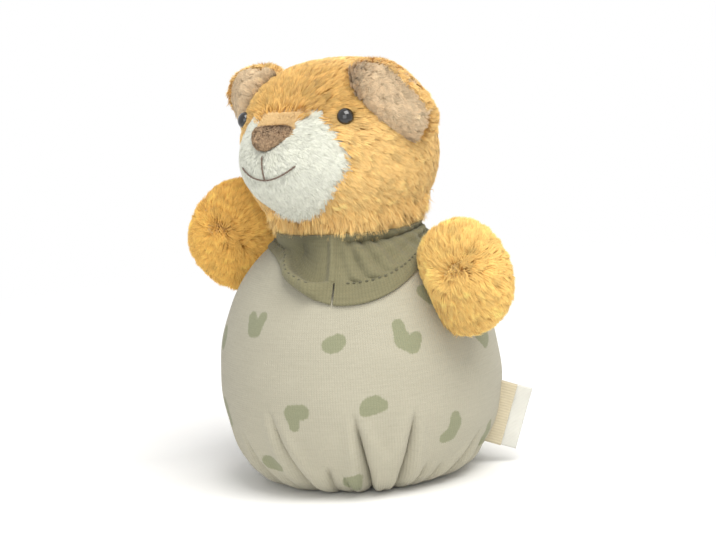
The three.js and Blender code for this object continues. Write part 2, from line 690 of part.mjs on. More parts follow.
// Plush panels sewn edge to edge over the filling: back, face, muzzle and the bridge of the nose.
function makeHeadCover(group) {
  const shell = headOuter.subtract(headInner).subtract(neckSocket);
  const behind = box(REACH, REACH, REACH, 0, HEAD_SEAM_BACK + SEAM_GAP / 2 + REACH / 2, 0);
  const ahead = box(REACH, REACH, REACH, 0, HEAD_SEAM_BACK - SEAM_GAP / 2 - REACH / 2, 0);
  const hole = (side) => eyeRod(side, POST_RADIUS + CLEARANCE, -POST_LENGTH, EYE_DOME);
  const front = shell.intersect(ahead).subtract(hole(1)).subtract(hole(-1));
  const patch = facePrism(patchOutline(-SEAM_GAP / 2), FACE_REACH);
  const patchHole = facePrism(patchOutline(SEAM_GAP / 2), FACE_REACH);
  const bridge = facePrism(bridgeOutline(-SEAM_GAP / 2), FACE_REACH);
  const bridgeHole = facePrism(bridgeOutline(SEAM_GAP / 2), FACE_REACH);
  group.add(piece("head_back_panel", shell.intersect(behind), looks.yellowPlush));
  group.add(piece("head_face_panel", front.subtract(patchHole).subtract(bridgeHole), looks.yellowPlush));
  group.add(piece("muzzle_panel", front.intersect(patch).subtract(bridgeHole), looks.whitePlush));
  group.add(piece("nose_bridge", front.intersect(bridge), looks.bridgePlush));

  const pocket = (side) => eyeRod(side, WASHER_RADIUS + CLEARANCE, -POST_LENGTH - CLEARANCE, EYE_DOME);
  const fill = headFill.subtract(neckSocket).subtract(pocket(1)).subtract(pocket(-1));
  group.add(piece("head_stuffing", fill, looks.filling));
}

// A stuffed nose pad that follows the muzzle, and the mouth stitched under it.
function makeNoseAndMouth(group) {
  const pad = headForm(NOSE_THICKNESS, HEAD_COLUMNS)
    .subtract(headKeepOut)
    .intersect(facePrism(noseOutline(), FACE_REACH));
  group.add(piece("nose", pad, looks.nosePlush));

  const lift = STITCH_RADIUS + CLEARANCE;
  const stitch = (points, steps) => {
    const path = new THREE.CatmullRomCurve3(points.map(([out, up]) => facePoint(out, up, lift)));
    const section = new THREE.Shape().absarc(0, 0, STITCH_RADIUS, 0, 2 * Math.PI);
    return solid(new THREE.ExtrudeGeometry(section, { steps, extrudePath: path, curveSegments: 3 }));
  };
  const smile = [-1, -0.5, 0, 0.5, 1].map((share) => [
    share * SMILE_HALF_WIDTH,
    MOUTH_LOW + SMILE_RISE * share ** 2,
  ]);
  const line = stitch([[0, MOUTH_TOP], [0, (MOUTH_TOP + MOUTH_LOW) / 2], [0, MOUTH_LOW]], 4);
  group.add(piece("mouth_stitch", stitch(smile, 12).add(line), looks.thread));
}

// A domed bead on a post, held from inside by a washer.
function makeEye(group, name, washerName, side) {
  const dome = turned([
    [0, 0],
    ...[0, 22, 45, 68, 90].map((angle) => [
      EYE_RADIUS * Math.cos(radians(angle)),
      CLEARANCE + EYE_DOME * Math.sin(radians(angle)),
    ]),
  ], 14);
  const bead = solid(dome.applyMatrix4(eyeAxis(side))).subtract(headKeepOut);
  const post = eyeRod(side, POST_RADIUS, -POST_LENGTH, EYE_DOME / 2);
  group.add(piece(name, bead.add(post), looks.eye));
  const ring = eyeRod(side, WASHER_RADIUS, -washerSeat - WASHER_THICKNESS, -washerSeat)
    .subtract(eyeRod(side, POST_RADIUS + CLEARANCE, -POST_LENGTH, EYE_DOME))
    .intersect(headFill);
  group.add(piece(washerName, ring, looks.washer));
}

const EAR_COLUMNS = 28;

// One layer of an ear: flat where the two layers meet, domed outside. Z runs to the front.
function earLayer(thickness, front) {
  const rings = [0, 0.35, 0.7, 1];
  const bulge = [80, 60, 40, 20].map(radians);
  const flat = rings.map((share) => [share, 0]);
  const dome = bulge.toReversed().map((angle) => [Math.cos(angle), thickness * Math.sin(angle)]);
  const loop = [...flat, ...dome, [0, thickness]];
  const outline = loop.map(([radius, height]) => [radius, height + SEAM_GAP / 2]);
  const mirrored = outline.map(([radius, height]) => [radius, -height]).toReversed();
  const geometry = turned(front ? outline : mirrored, EAR_COLUMNS);
  const seam = HEAD_HALF_WIDTH - EAR_RISE;
  return warp(geometry, (vertex) => {
    vertex.x *= EAR_HALF_WIDTH;
    vertex.y *= EAR_HEIGHT;
    const swell = lerp(EAR_SEAM_SHARE, 1, smoothstep(vertex.y, seam, seam + EAR_SWELL));
    const inner = Math.sign(vertex.z) * SEAM_GAP / 2;
    vertex.z = inner + (vertex.z - inner) * swell;
    vertex.z += EAR_CURL * Math.max(vertex.y / EAR_HEIGHT, 0) ** 2;
  });
}

function makeEar(group, side, frontName, backName) {
  const place = new THREE.Matrix4().makeBasis(
    new THREE.Vector3(1, 0, 0), new THREE.Vector3(0, 0, 1), new THREE.Vector3(0, -1, 0));
  const turn = new THREE.Matrix4().makeRotationY(side * radians(EAR_ANGLE));
  const seat = new THREE.Matrix4().makeTranslation(0, HEAD_SEAM_BACK, EAR_RISE);
  const toHead = new THREE.Matrix4().makeTranslation(headMiddle.x, headMiddle.y, headMiddle.z);
  const matrix = toHead.multiply(turn).multiply(seat).multiply(place);
  const layer = (thickness, front) =>
    solid(earLayer(thickness, front).applyMatrix4(matrix)).subtract(headKeepOut);
  group.add(piece(frontName, layer(EAR_FRONT, true), looks.tanPlush));
  group.add(piece(backName, layer(EAR_BACK, false), looks.yellowPlush));
}

const toy = new THREE.Group();
makeBody(toy);
makeFilling(toy);
makeCapsule(toy);
makeBeads(toy);
makeNeck(toy);
makeKerchief(toy);
makeArm(toy, "arm_left", ARM_LEFT_ANGLE, ARM_LEFT_HEIGHT);
makeArm(toy, "arm_right", -ARM_RIGHT_ANGLE, ARM_RIGHT_HEIGHT);
makeLabels(toy);

const head = new THREE.Group();
head.position.z = PIVOT_HEIGHT;
head.rotation.set(0, radians(HEAD_TILT), radians(HEAD_TURN), "ZYX");
makeHeadCover(head);
makeNoseAndMouth(head);
makeEye(head, "eye_left", "eye_washer_left", 1);
makeEye(head, "eye_right", "eye_washer_right", -1);
makeEar(head, 1, "ear_left_front", "ear_left_back");
makeEar(head, -1, "ear_right_front", "ear_right_back");
toy.add(head);

export default toy;
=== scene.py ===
# %% [markdown]
# # A soft rattle toy
# A small plush lion cub stands on a gathered base, with a neckerchief, two raised paws and a rattle inside.
# Its solids come packed with their joints. This lesson dresses them: every sewn piece gets a finer mesh,
# its cloth and its pile. Each cell makes one step. Lengths are millimetres until a mesh is made, and angles
# are degrees until they reach a sine or a cosine.

import math

import bpy
import numpy as np
from mathutils import Matrix, Quaternion, Vector, kdtree, noise


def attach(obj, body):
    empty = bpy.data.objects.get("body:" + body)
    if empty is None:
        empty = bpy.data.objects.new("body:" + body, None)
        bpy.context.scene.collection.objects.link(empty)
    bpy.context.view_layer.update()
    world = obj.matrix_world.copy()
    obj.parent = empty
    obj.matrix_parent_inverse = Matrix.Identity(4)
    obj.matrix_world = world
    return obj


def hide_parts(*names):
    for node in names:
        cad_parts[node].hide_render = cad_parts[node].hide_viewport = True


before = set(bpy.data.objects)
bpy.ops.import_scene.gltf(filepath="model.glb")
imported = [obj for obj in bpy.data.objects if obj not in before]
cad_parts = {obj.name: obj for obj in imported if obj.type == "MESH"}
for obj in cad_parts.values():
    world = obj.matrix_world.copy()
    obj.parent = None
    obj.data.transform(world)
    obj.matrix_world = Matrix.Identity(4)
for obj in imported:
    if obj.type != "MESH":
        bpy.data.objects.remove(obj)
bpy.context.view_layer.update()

# %% [markdown]
# ## Meshes from arrays
# A sewn toy is made of smooth skins, so most pieces here are grids of points that a formula bends into shape.
# They could be sculpted by hand, but a formula keeps each skin on its solid and can be changed later.
# Arrays of numbers are quick to fill, and one helper turns them into a mesh that rides on a body.

# %% Helpers for meshes
MM = 0.001


def unit(vectors):
    """Vectors of length one."""
    return vectors / np.maximum(np.linalg.norm(vectors, axis=-1, keepdims=True), 1e-9)


def smooth(value, low, high):
    """A soft step from 0 at low to 1 at high."""
    share = np.clip((value - low) / (high - low), 0, 1)
    return share * share * (3 - 2 * share)


def new_piece(name, points, faces, finish, body, nodes=()):
    """A smooth mesh from points in millimetres, which rides on a body and may stand for some solids."""
    mesh = bpy.data.meshes.new(name)
    mesh.vertices.add(len(points))
    mesh.vertices.foreach_set("co", (np.asarray(points) * MM).astype(np.float32).ravel())
    mesh.loops.add(faces.size)
    mesh.loops.foreach_set("vertex_index", faces.astype(np.int32).ravel())
    mesh.polygons.add(len(faces))
    mesh.polygons.foreach_set("loop_start", np.arange(0, faces.size, faces.shape[1], dtype=np.int32))
    mesh.update(calc_edges=True)
    mesh.shade_smooth()
    mesh.materials.append(finish.material)
    piece = bpy.data.objects.new(name, mesh)
    bpy.context.scene.collection.objects.link(piece)
    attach(piece, body)
    if nodes:
        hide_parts(*nodes)
    return piece


def lay_map(piece, name, places):
    """A map of the surface, from one place for each corner of each face."""
    layer = piece.data.uv_layers.new(name=name)
    layer.data.foreach_set("uv", np.asarray(places, np.float32).ravel())


def keep_numbers(piece, name, kind, numbers):
    """Numbers or colours for each vertex, which a finish can read by name."""
    kept = piece.data.attributes.new(name, kind, "POINT")
    kept.data.foreach_set("value" if kind == "FLOAT" else "color", np.asarray(numbers, np.float32).ravel())


def grid_corners(rows, columns, closed):
    """The row and column of each corner of a grid's faces."""
    wide = columns if closed else columns - 1
    row, column = rows_and_columns(np.arange(rows - 1), np.arange(wide))
    around = [(0, 0), (0, 1), (1, 1), (1, 0)]
    corners = [np.stack([row + up, column + on], -1) for up, on in around]
    return np.stack(corners, 2).reshape(-1, 4, 2)


def grid_faces(corners, columns):
    return corners[..., 0] * columns + corners[..., 1] % columns


def new_grid(name, points, closed, across, along, finish, body, nodes=()):
    """A grid of points as a piece, with one map in millimetres and one that fills a square."""
    rows, columns = points.shape[:2]
    corners = grid_corners(rows, columns, closed)
    piece = new_piece(name, points.reshape(-1, 3), grid_faces(corners, columns), finish, body, nodes)
    row, column = corners[..., 0], corners[..., 1]
    lay_map(piece, "Cloth", np.stack([across[row, column], along[row, column]], -1))
    last = columns if closed else columns - 1
    lay_map(piece, "OFBake", np.stack([column / last, row / (rows - 1)], -1))
    return piece


def full_turn(count, whole=math.tau):
    """Even steps round a circle, without the last, which is the first again."""
    return np.linspace(0, whole, count, endpoint=False)


def rows_and_columns(rows, columns):
    """Two grids, of each point's row value and of its column value."""
    return np.meshgrid(rows, columns, indexing="ij")


def triangles(faces):
    return np.concatenate([faces[:, [0, 1, 2]], faces[:, [0, 2, 3]]])


def vertex_ways(points, faces):
    """The way out at each vertex."""
    a, b, c = (points[faces[:, i]] for i in range(3))
    out = np.cross(b - a, c - a)
    total = np.zeros_like(points)
    for i in range(3):
        np.add.at(total, faces[:, i], out)
    return unit(total)


print("mesh helpers ready")

# %% [markdown]
# ## Writing a finish as sums
# A material is a graph of nodes. Wired by hand it grows fast, and its idea gets lost.
# Here a small class wraps a socket, so that `1 - mask` adds the node that does it, and one method makes any
# other node from its type, its settings and its inputs.

# %% The finish class
class Link:
    """A socket of a finish, on which sums can be written."""

    def __init__(self, finish, socket):
        self.finish = finish
        self.socket = socket

    def math(self, operation, *values):
        return self.finish.node("ShaderNodeMath", {"operation": operation}, dict(enumerate(values)))

    def __add__(self, other):
        return self.math("ADD", self, other)

    def __sub__(self, other):
        return self.math("SUBTRACT", self, other)

    def __rsub__(self, other):
        return self.math("SUBTRACT", other, self)

    def __mul__(self, other):
        return self.math("MULTIPLY", self, other)

    def __truediv__(self, other):
        return self.math("DIVIDE", self, other)

    def __abs__(self):
        return self.math("ABSOLUTE", self)

    __radd__ = __add__
    __rmul__ = __mul__

    def clamp(self):
        return self.finish.node("ShaderNodeClamp", {}, {0: self})

    def fraction(self):
        return self.math("FRACT", self)

    def wave(self):
        """A wave between 0 and 1 with one turn for each whole number."""
        return self.math("SINE", self * math.tau) * 0.5 + 0.5


class Finish:
    """A material whose nodes are made by name."""

    def __init__(self, name):
        self.material = bpy.data.materials.new(name)
        self.material.use_nodes = True
        self.tree = self.material.node_tree
        self.shader = self.tree.nodes["Principled BSDF"]

    def feed(self, socket, value):
        if isinstance(value, Link):
            self.tree.links.new(value.socket, socket)
        else:
            socket.default_value = value

    def node(self, kind, settings, inputs, output=0):
        made = self.tree.nodes.new(kind)
        for name, value in settings.items():
            setattr(made, name, value)
        for name, value in inputs.items():
            self.feed(made.inputs[name], value)
        return Link(self, made.outputs[output])

    def mix(self, share, first, second):
        return self.node("ShaderNodeMix", {"data_type": "RGBA"}, {0: share, 6: first, 7: second}, 2)

    def grain(self, place, scale, detail=2.0):
        inputs = {"Vector": place, "Scale": scale, "Detail": detail}
        return self.node("ShaderNodeTexNoise", {}, inputs)

    def bump(self, height, millimetres, strength=1.0):
        inputs = {"Height": height, "Distance": millimetres * MM, "Strength": strength}
        return self.node("ShaderNodeBump", {}, inputs)

    def place(self):
        return self.node("ShaderNodeTexCoord", {}, {}, "Object")

    def set(self, sockets):
        for name, value in sockets.items():
            self.feed(self.shader.inputs[name], value)
        return self


def colour(red, green, blue):
    """A colour as seen on a screen, from 0 to 255, for a socket."""
    parts = [part / 255 for part in (red, green, blue)]
    line = [part / 12.92 if part <= 0.04045 else ((part + 0.055) / 1.055) ** 2.4 for part in parts]
    return (*line, 1.0)


print("finish class ready")

# %% [markdown]
# ## Jersey
# The body and the neckerchief are thin cotton jersey. Close up, jersey is columns of small V-shaped loops.
# A picture of cloth would do, but it blurs up close, so the loops are sums on a map in millimetres:
# one wave across for the columns, and one along that slants inside each column.
# The body's print of spots is read from a distance that the mesh keeps for each vertex. On the neckerchief
# the recess behind the hem's lip is painted darker as painted shade, and its mesh keeps where that painted
# shade goes.

# %% The jersey finish
WALE = 0.85
COURSE = 0.7


def jersey_finish(name, cloth, deep, print_colour=None, recess_shade=None):
    finish = Finish(name)
    place = finish.node("ShaderNodeUVMap", {"uv_map": "Cloth"}, {})
    across = finish.node("ShaderNodeSeparateXYZ", {}, {0: place}, 0) / WALE
    along = finish.node("ShaderNodeSeparateXYZ", {}, {0: place}, 1) / COURSE
    leg = abs(across.fraction() - 0.5) * 2
    loops = (along + leg * 0.55).wave()
    stitch = (1 - leg * leg) * 0.6 + loops * 0.4
    yarn = finish.grain(place, 0.9, 3.0)
    patch = finish.grain(place, 0.07, 2.0)
    drawn = finish.node("ShaderNodeVectorMath", {"operation": "MULTIPLY"}, {0: place, 1: (0.1, 1.7, 1)})
    slub = finish.grain(drawn, 1.0, 3.0)
    # the tone is partly the cloth's own uneven colour (yarn, slub, patch) and partly painted shade: the
    # stitch term darkens the colour between the loops
    tone = (stitch * 0.25 + yarn * 0.3 + slub * 0.4 + patch * 0.15).clamp()
    base = finish.mix(tone, deep, cloth)
    if print_colour:
        distance = finish.node("ShaderNodeAttribute", {"attribute_name": "Spot"}, {}, "Fac")
        ragged = distance + (yarn - 0.5) * 0.9 + (stitch - 0.5) * 0.25
        mask = (0.5 - ragged / 0.5).clamp()
        printed = finish.mix(tone, print_colour[0], print_colour[1])
        base = finish.mix(mask, base, printed)
    # painted shade: the recess behind the neckerchief's lip is mixed to a darker pair of colours
    if recess_shade:
        turned = finish.node("ShaderNodeAttribute", {"attribute_name": "RecessShade"}, {}, "Fac")
        base = finish.mix(turned, base, finish.mix(tone, recess_shade[0], recess_shade[1]))
    return finish.set({
        "Base Color": base,
        "Roughness": 0.92,
        "Specular IOR Level": 0.2,
        "Sheen Weight": 0.12,
        "Sheen Roughness": 0.6,
        "Normal": finish.bump(stitch + yarn * 0.5, 0.16, 0.7),
    })


BEIGE = jersey_finish("jersey_beige", colour(186, 181, 162), colour(152, 147, 128),
                      (colour(126, 128, 101), colour(148, 149, 121)))
# the sage's last pair of colours is the painted shade of the recess behind the lip
SAGE = jersey_finish("jersey_sage", colour(136, 131, 101), colour(98, 94, 68), None,
                     (colour(66, 63, 45), colour(102, 98, 74)))
print("jersey finishes:", BEIGE.material.name, SAGE.material.name)

# %% [markdown]
# ## Pile
# Plush is a backing cloth with thousands of fibres. Hair particles would be lost in an exported model, so
# each fibre here is real mesh, one tapered blade. The blades carry their own colour, dark at the root and
# pale at the tip, and the finish only reads it. The backing below is mottled in a like colour.

# %% The pile and backing finishes
def pile_finish(name, sheen):
    finish = Finish(name)
    fibre = finish.node("ShaderNodeAttribute", {"attribute_name": "Pile"}, {}, "Color")
    return finish.set({
        "Base Color": fibre,
        "Roughness": 0.75,
        "Specular IOR Level": 0.25,
        "Sheen Weight": sheen,
        "Sheen Roughness": 0.45,
    })


def backing_finish(name, dark, light):
    finish = Finish(name)
    place = finish.place()
    fluff = finish.grain(place, 900.0, 4.0)
    broad = finish.grain(place, 90.0, 2.0)
    tone = (fluff * 0.7 + broad * 0.5 - 0.1).clamp()
    return finish.set({
        "Base Color": finish.mix(tone, dark, light),
        "Roughness": 0.95,
        "Specular IOR Level": 0.15,
        "Normal": finish.bump(fluff, 0.5, 0.8),
    })


YELLOW_PILE = pile_finish("plush_yellow_pile", 0.25)
WHITE_PILE = pile_finish("plush_white_pile", 0.25)
TAN_PILE = pile_finish("plush_tan_pile", 0.2)
BRIDGE_PILE = pile_finish("plush_bridge_pile", 0.2)
NOSE_PILE = pile_finish("plush_nose_pile", 0.1)
YELLOW_BACKING = backing_finish("plush_yellow_backing", colour(204, 150, 68), colour(232, 184, 104))
WHITE_BACKING = backing_finish("plush_white_backing", colour(232, 230, 218), colour(250, 249, 242))
TAN_BACKING = backing_finish("plush_tan_backing", colour(176, 150, 116), colour(200, 174, 138))
BRIDGE_BACKING = backing_finish("plush_bridge_backing", colour(196, 152, 92), colour(224, 186, 128))
NOSE_BACKING = backing_finish("plush_nose_backing", colour(104, 78, 54), colour(138, 108, 78))
print("pile finishes: yellow, white, tan, bridge, nose")

# %% [markdown]
# ## Small finishes
# The eyes are polished plastic, the mouth is embroidery thread, the labels are woven ribbon, and what lies
# inside is fibre and moulded plastic. A picture for each would be more work than it shows, so each is a short
# sum: ribs for ribbon, fine grain for thread, faint mottling for plastic.

# %% Thread, ribbon, fibre and plastic
def thread_finish(name, dark, light):
    finish = Finish(name)
    place = finish.place()
    strand = finish.grain(place, 2600.0, 2.0)
    return finish.set({
        "Base Color": finish.mix(strand, dark, light),
        "Roughness": 0.6,
        "Sheen Weight": 0.2,
        "Normal": finish.bump(strand, 0.12),
    })


def ribbon_finish(name, dark, light, rib, roughness):
    finish = Finish(name)
    place = finish.node("ShaderNodeUVMap", {"uv_map": "Cloth"}, {})
    across = finish.node("ShaderNodeSeparateXYZ", {}, {0: place}, 0)
    along = finish.node("ShaderNodeSeparateXYZ", {}, {0: place}, 1)
    weave = (across / rib).wave() * 0.7 + (along / 0.3).wave() * 0.3
    soil = finish.grain(place, 0.25, 3.0)
    return finish.set({
        "Base Color": finish.mix((weave * 0.5 + soil * 0.5).clamp(), dark, light),
        "Roughness": roughness,
        "Specular IOR Level": 0.3,
        "Normal": finish.bump(weave, 0.08),
    })


def plastic_finish(name, dark, light, roughness):
    finish = Finish(name)
    mottle = finish.grain(finish.place(), 160.0, 3.0)
    return finish.set({
        "Base Color": finish.mix(mottle, dark, light),
        "Roughness": mottle * 0.1 + roughness,
        "Normal": finish.bump(mottle, 0.02),
    })


EMBROIDERY = thread_finish("thread_brown", colour(82, 64, 52), colour(126, 104, 88))
SAGE_THREAD = thread_finish("thread_sage", colour(70, 68, 48), colour(108, 104, 78))
WOVEN = ribbon_finish("label_beige", colour(190, 178, 150), colour(219, 208, 181), 0.9, 0.75)
SATIN = ribbon_finish("label_white", colour(206, 205, 196), colour(228, 227, 219), 0.45, 0.5)
FIBRE = backing_finish("fibrefill", colour(214, 211, 204), colour(243, 241, 236))
EYE = plastic_finish("eye_black", colour(8, 6, 5), colour(16, 11, 8), 0.08)
EYE.set({"Coat Weight": 0.6})
CAPSULE = plastic_finish("capsule_plastic", colour(205, 211, 214), colour(226, 231, 233), 0.25)
BEAD = plastic_finish("bead_plastic", colour(168, 176, 181), colour(192, 199, 203), 0.3)
WASHER = plastic_finish("washer_plastic", colour(216, 213, 204), colour(234, 232, 224), 0.45)
print("small finishes ready")

# %% [markdown]
# ## Camera, floor and light
# The toy was seen from its front left, a little from above, with a long lens, and it leans in the picture,
# so the camera is rolled. The floor is a pale disc that fades out into a white surround, which keeps the soft
# shadow without a horizon. Two big soft lamps give the plain light of a studio. The surround is white to the
# camera and in reflections, and a softer light to everything else.

# %% The studio
VIEW_TURN = 33
VIEW_RISE = 10
VIEW_ROLL = 4.5
VIEW_DISTANCE = 900
LENS = 139
AIM = Vector((0, 0, 70))
NUDGE_RIGHT = 1.95
NUDGE_DOWN = 2.6
FLOOR_RADIUS = 0.5
FLOOR_SIDES = 64
SURROUND_LIGHT = 0.58


def make_camera():
    turn, rise = math.radians(VIEW_TURN), math.radians(VIEW_RISE)
    back = Vector((math.sin(turn) * math.cos(rise), -math.cos(turn) * math.cos(rise), math.sin(rise)))
    facing = back.to_track_quat("Z", "Y") @ Quaternion((0, 0, 1), -math.radians(VIEW_ROLL))
    aim = AIM + facing @ Vector((NUDGE_RIGHT, -NUDGE_DOWN, 0))
    data = bpy.data.cameras.new("camera")
    data.lens = LENS
    data.clip_start = 0.01
    camera = bpy.data.objects.new("camera", data)
    camera.location = (aim + back * VIEW_DISTANCE) * MM
    camera.rotation_euler = facing.to_euler()
    bpy.context.scene.collection.objects.link(camera)
    bpy.context.scene.camera = camera


def make_floor():
    finish = Finish("floor_paper")
    place = finish.place()
    away = finish.node("ShaderNodeVectorMath", {"operation": "LENGTH"}, {0: place}, "Value")
    fade = ((0.42 - away) / 0.2).clamp()
    grain = finish.grain(place, 60.0)
    paper = finish.mix(grain, colour(250, 250, 249), colour(253, 253, 252))
    finish.set({"Base Color": paper, "Roughness": 0.9, "Specular IOR Level": 0.1})
    clear = finish.node("ShaderNodeBsdfTransparent", {}, {})
    sheet = Link(finish, finish.shader.outputs[0])
    both = finish.node("ShaderNodeMixShader", {}, {0: fade, 1: clear, 2: sheet})
    finish.feed(finish.tree.nodes["Material Output"].inputs["Surface"], both)
    turns = full_turn(FLOOR_SIDES)
    rim = np.column_stack([np.cos(turns), np.sin(turns), np.zeros(FLOOR_SIDES)]) * FLOOR_RADIUS
    mesh = bpy.data.meshes.new("floor")
    mesh.from_pydata([tuple(point) for point in rim], [], [list(range(FLOOR_SIDES))])
    mesh.materials.append(finish.material)
    floor = bpy.data.objects.new("floor", mesh)
    bpy.context.scene.collection.objects.link(floor)


def make_lamp(name, place, size, power, tone):
    data = bpy.data.lights.new(name, "AREA")
    data.size = size
    data.energy = power
    data.color = tone
    lamp = bpy.data.objects.new(name, data)
    lamp.location = place
    lamp.rotation_euler = (Vector(place) - AIM * MM).to_track_quat("Z", "Y").to_euler()
    bpy.context.scene.collection.objects.link(lamp)


def make_surround():
    world = bpy.context.scene.world or bpy.data.worlds.new("surround")
    bpy.context.scene.world = world
    world.use_nodes = True
    nodes, links = world.node_tree.nodes, world.node_tree.links
    light = nodes["Background"]
    light.inputs["Color"].default_value = (1, 1, 1, 1)
    light.inputs["Strength"].default_value = SURROUND_LIGHT
    white = nodes.new("ShaderNodeBackground")
    white.inputs["Color"].default_value = (1, 1, 1, 1)
    white.inputs["Strength"].default_value = 1
    path = nodes.new("ShaderNodeLightPath")
    pick = nodes.new("ShaderNodeMixShader")
    seen = path.outputs["Is Camera Ray"]
    for ray in ("Is Glossy Ray", "Is Transmission Ray"):
        either = nodes.new("ShaderNodeMath")
        either.operation = "MAXIMUM"
        links.new(seen, either.inputs[0])
        links.new(path.outputs[ray], either.inputs[1])
        seen = either.outputs[0]
    links.new(seen, pick.inputs[0])
    links.new(light.outputs[0], pick.inputs[1])
    links.new(white.outputs[0], pick.inputs[2])
    links.new(pick.outputs[0], nodes["World Output"].inputs["Surface"])


make_camera()
make_floor()
make_lamp("key", (0.6, -0.3, 1.3), 1.0, 19.5, (1, 0.98, 0.95))
make_lamp("fill", (0.5, -1.1, 0.35), 0.9, 4.5, (0.98, 0.99, 1))
make_surround()
bpy.context.scene.view_settings.view_transform = "Standard"
print("camera at", [round(number, 3) for number in bpy.context.scene.camera.location])

# %% [markdown]
# ## The jersey bag
# The body is a round bag of two panels, sewn along the sides and gathered at the base, so its lower third is
# full of creases. Cloth simulation could gather it, but the creases would fall anywhere. Here the bag is a
# turned outline, and each crease is a narrow groove with a soft fold on either side, at its chosen place.
# Under the neckerchief the bag is drawn in a little, which leaves room for the cloth.

# %% Outline of the bag
BELLY_RADIUS = 46
BELLY_HEIGHT = 32
BASE_RADIUS = 25
BODY_HEIGHT = 79
NECK_RADIUS = 21
SHOULDER_POWER = 4 / 3
RIM_LIFT = 0.5
BASE_OPENING = 19
SEAM_ANGLE = 118
NECK_DENT = 3.2
HEM_LOWEST_AT = 29
HEM_BEHIND = 77
HEM_DROP = 13.8


def bag_outline(latitude):
    """Radius and height of the bag from -90 at the rim to 90 at the neck."""
    across = np.maximum(np.cos(np.radians(latitude)), 0)
    up = np.sin(np.radians(latitude))
    low = BASE_RADIUS + (BELLY_RADIUS - BASE_RADIUS) * across
    high = NECK_RADIUS + (BELLY_RADIUS - NECK_RADIUS) * across**SHOULDER_POWER
    low_height = RIM_LIFT + (BELLY_HEIGHT - RIM_LIFT) * (1 + up)
    high_height = BELLY_HEIGHT + (BODY_HEIGHT - BELLY_HEIGHT) * up
    return np.where(latitude < 0, low, high), np.where(latitude < 0, low_height, high_height)


def shoulder_radius(height):
    up = np.clip((height - BELLY_HEIGHT) / (BODY_HEIGHT - BELLY_HEIGHT), 0, 1)
    return NECK_RADIUS + (BELLY_RADIUS - NECK_RADIUS) * (1 - up * up) ** (SHOULDER_POWER / 2)


def hem_height(angle):
    """The neckerchief's hem, low in front and high behind."""
    past = angle - HEM_LOWEST_AT
    spread = np.where(past < 0, 36, 46)
    return HEM_BEHIND - HEM_DROP * np.exp(-np.abs(past / spread) ** 2.2)


def neck_dent(angle, height):
    """How far the bag is drawn in where the neckerchief covers it."""
    around = (angle + 180) % 360 - 180
    front = 1 - smooth(np.abs(around + 20), 50, 75)
    return NECK_DENT * smooth(height - hem_height(around), 0, 4) * front


UNDER_RADII = np.linspace(BASE_OPENING + 0.3, BASE_RADIUS, 8)[:-1]
UNDER_HEIGHTS = 0.35 + 1.4 * np.linspace(1, 0, 7) ** 2
latitudes = np.concatenate([np.linspace(-90, -35, 70, endpoint=False), np.linspace(-35, 90, 95)])
bag_radius, bag_height = bag_outline(latitudes)
bag_radius = np.concatenate([UNDER_RADII, bag_radius])
bag_height = np.concatenate([UNDER_HEIGHTS, bag_height])
slope = unit(np.stack([np.gradient(bag_height), -np.gradient(bag_radius)], -1))
bag_length = np.concatenate([[0], np.cumsum(np.hypot(np.diff(bag_radius), np.diff(bag_height)))])
print("bag outline rows:", len(bag_radius), "length", round(float(bag_length[-1]), 1))

# %% Creases of the gathered base
CREASES = [
    # place round the bag at the base, depth, height where it ends, lean of its upper end
    (35, 5.0, 30, -6), (47, 4.6, 29, 7), (2, 3.4, 31, -9), (-21, 3.0, 22, -7), (13, 2.2, 13, 2),
    (41, 1.2, 9, 1), (57, 2.0, 11, 4), (66, 1.6, 9, 4), (77, 2.6, 17, 16), (92, 2.4, 13, 9), (104, 1.8, 9, 4),
    (24, 1.6, 10, -3), (-8, 1.4, 9, -3), (-36, 2.6, 24, -7), (-52, 1.8, 12, -3), (-68, 2.8, 25, -5),
    (-85, 1.8, 12, 0), (-101, 2.6, 21, -4), (112, 1.6, 9, 0), (126, 2.6, 22, 5), (143, 1.8, 13, 0),
    (158, 3.0, 26, 3), (174, 1.8, 12, 0), (190, 2.8, 24, -3), (206, 1.8, 12, 0), (222, 2.8, 25, -5),
    (238, 1.8, 11, 0), (251, 1.6, 9, 0),
]
PINCH = 0.5
PINCH_WIDTH = 1.5
DEEPEST_CREASE = -4.2
HIGHEST_FOLD = 1.2


def gather(angle, height, radius):
    """How far the cloth moves outwards and sideways, from its creases and the folds between them."""
    move, shift = np.zeros_like(angle), np.zeros_like(angle)
    for place, depth, top, lean in CREASES:
        up = height / top
        turned = (angle - place - lean * up + 180) % 360 - 180
        beside = np.radians(turned) * radius
        fade = (1 - smooth(up, 0.5, 1.08)) * (0.55 + 0.45 * smooth(height, 0, 6))
        width = 0.6 + 0.8 * (1 - np.clip(up, 0, 1))
        steep = np.where(beside * (1 if lean < 0 else -1) > 0, 0.6, 1.6)
        groove = np.exp(-np.abs(beside) / (width * steep))
        swell = 0.3 * np.exp(-(((np.abs(beside) - 4 * width) / (2.4 * width)) ** 2))
        move += depth * fade * (swell - groove)
        near = np.abs(beside) / PINCH_WIDTH
        shift -= PINCH * np.sign(beside) * fade * smooth(depth, 1, 4) * near * np.exp(1 - near)
    return np.clip(move, DEEPEST_CREASE, HIGHEST_FOLD), shift


def slack(angle, height):
    """Slow waves of cloth that isn't quite tight."""
    turn = np.radians(angle)
    low = np.sin(3 * turn + height * 0.06) * 0.28 + np.sin(7 * turn - height * 0.11 + 1) * 0.16
    high = np.sin(4 * turn + 2 + height * 0.16) * np.sin(height * 0.21) * 0.2
    return low + high


print("creases:", len(CREASES))

# %% [markdown]
# ## Printed spots
# The cloth carries sparse, uneven animal spots. A spot is a few round-ended strokes that melt together. Each
# vertex keeps its distance to the nearest spot, and the finish turns that into a sharp, slightly ragged edge.
# That needs no picture, and the print follows the cloth into its creases.

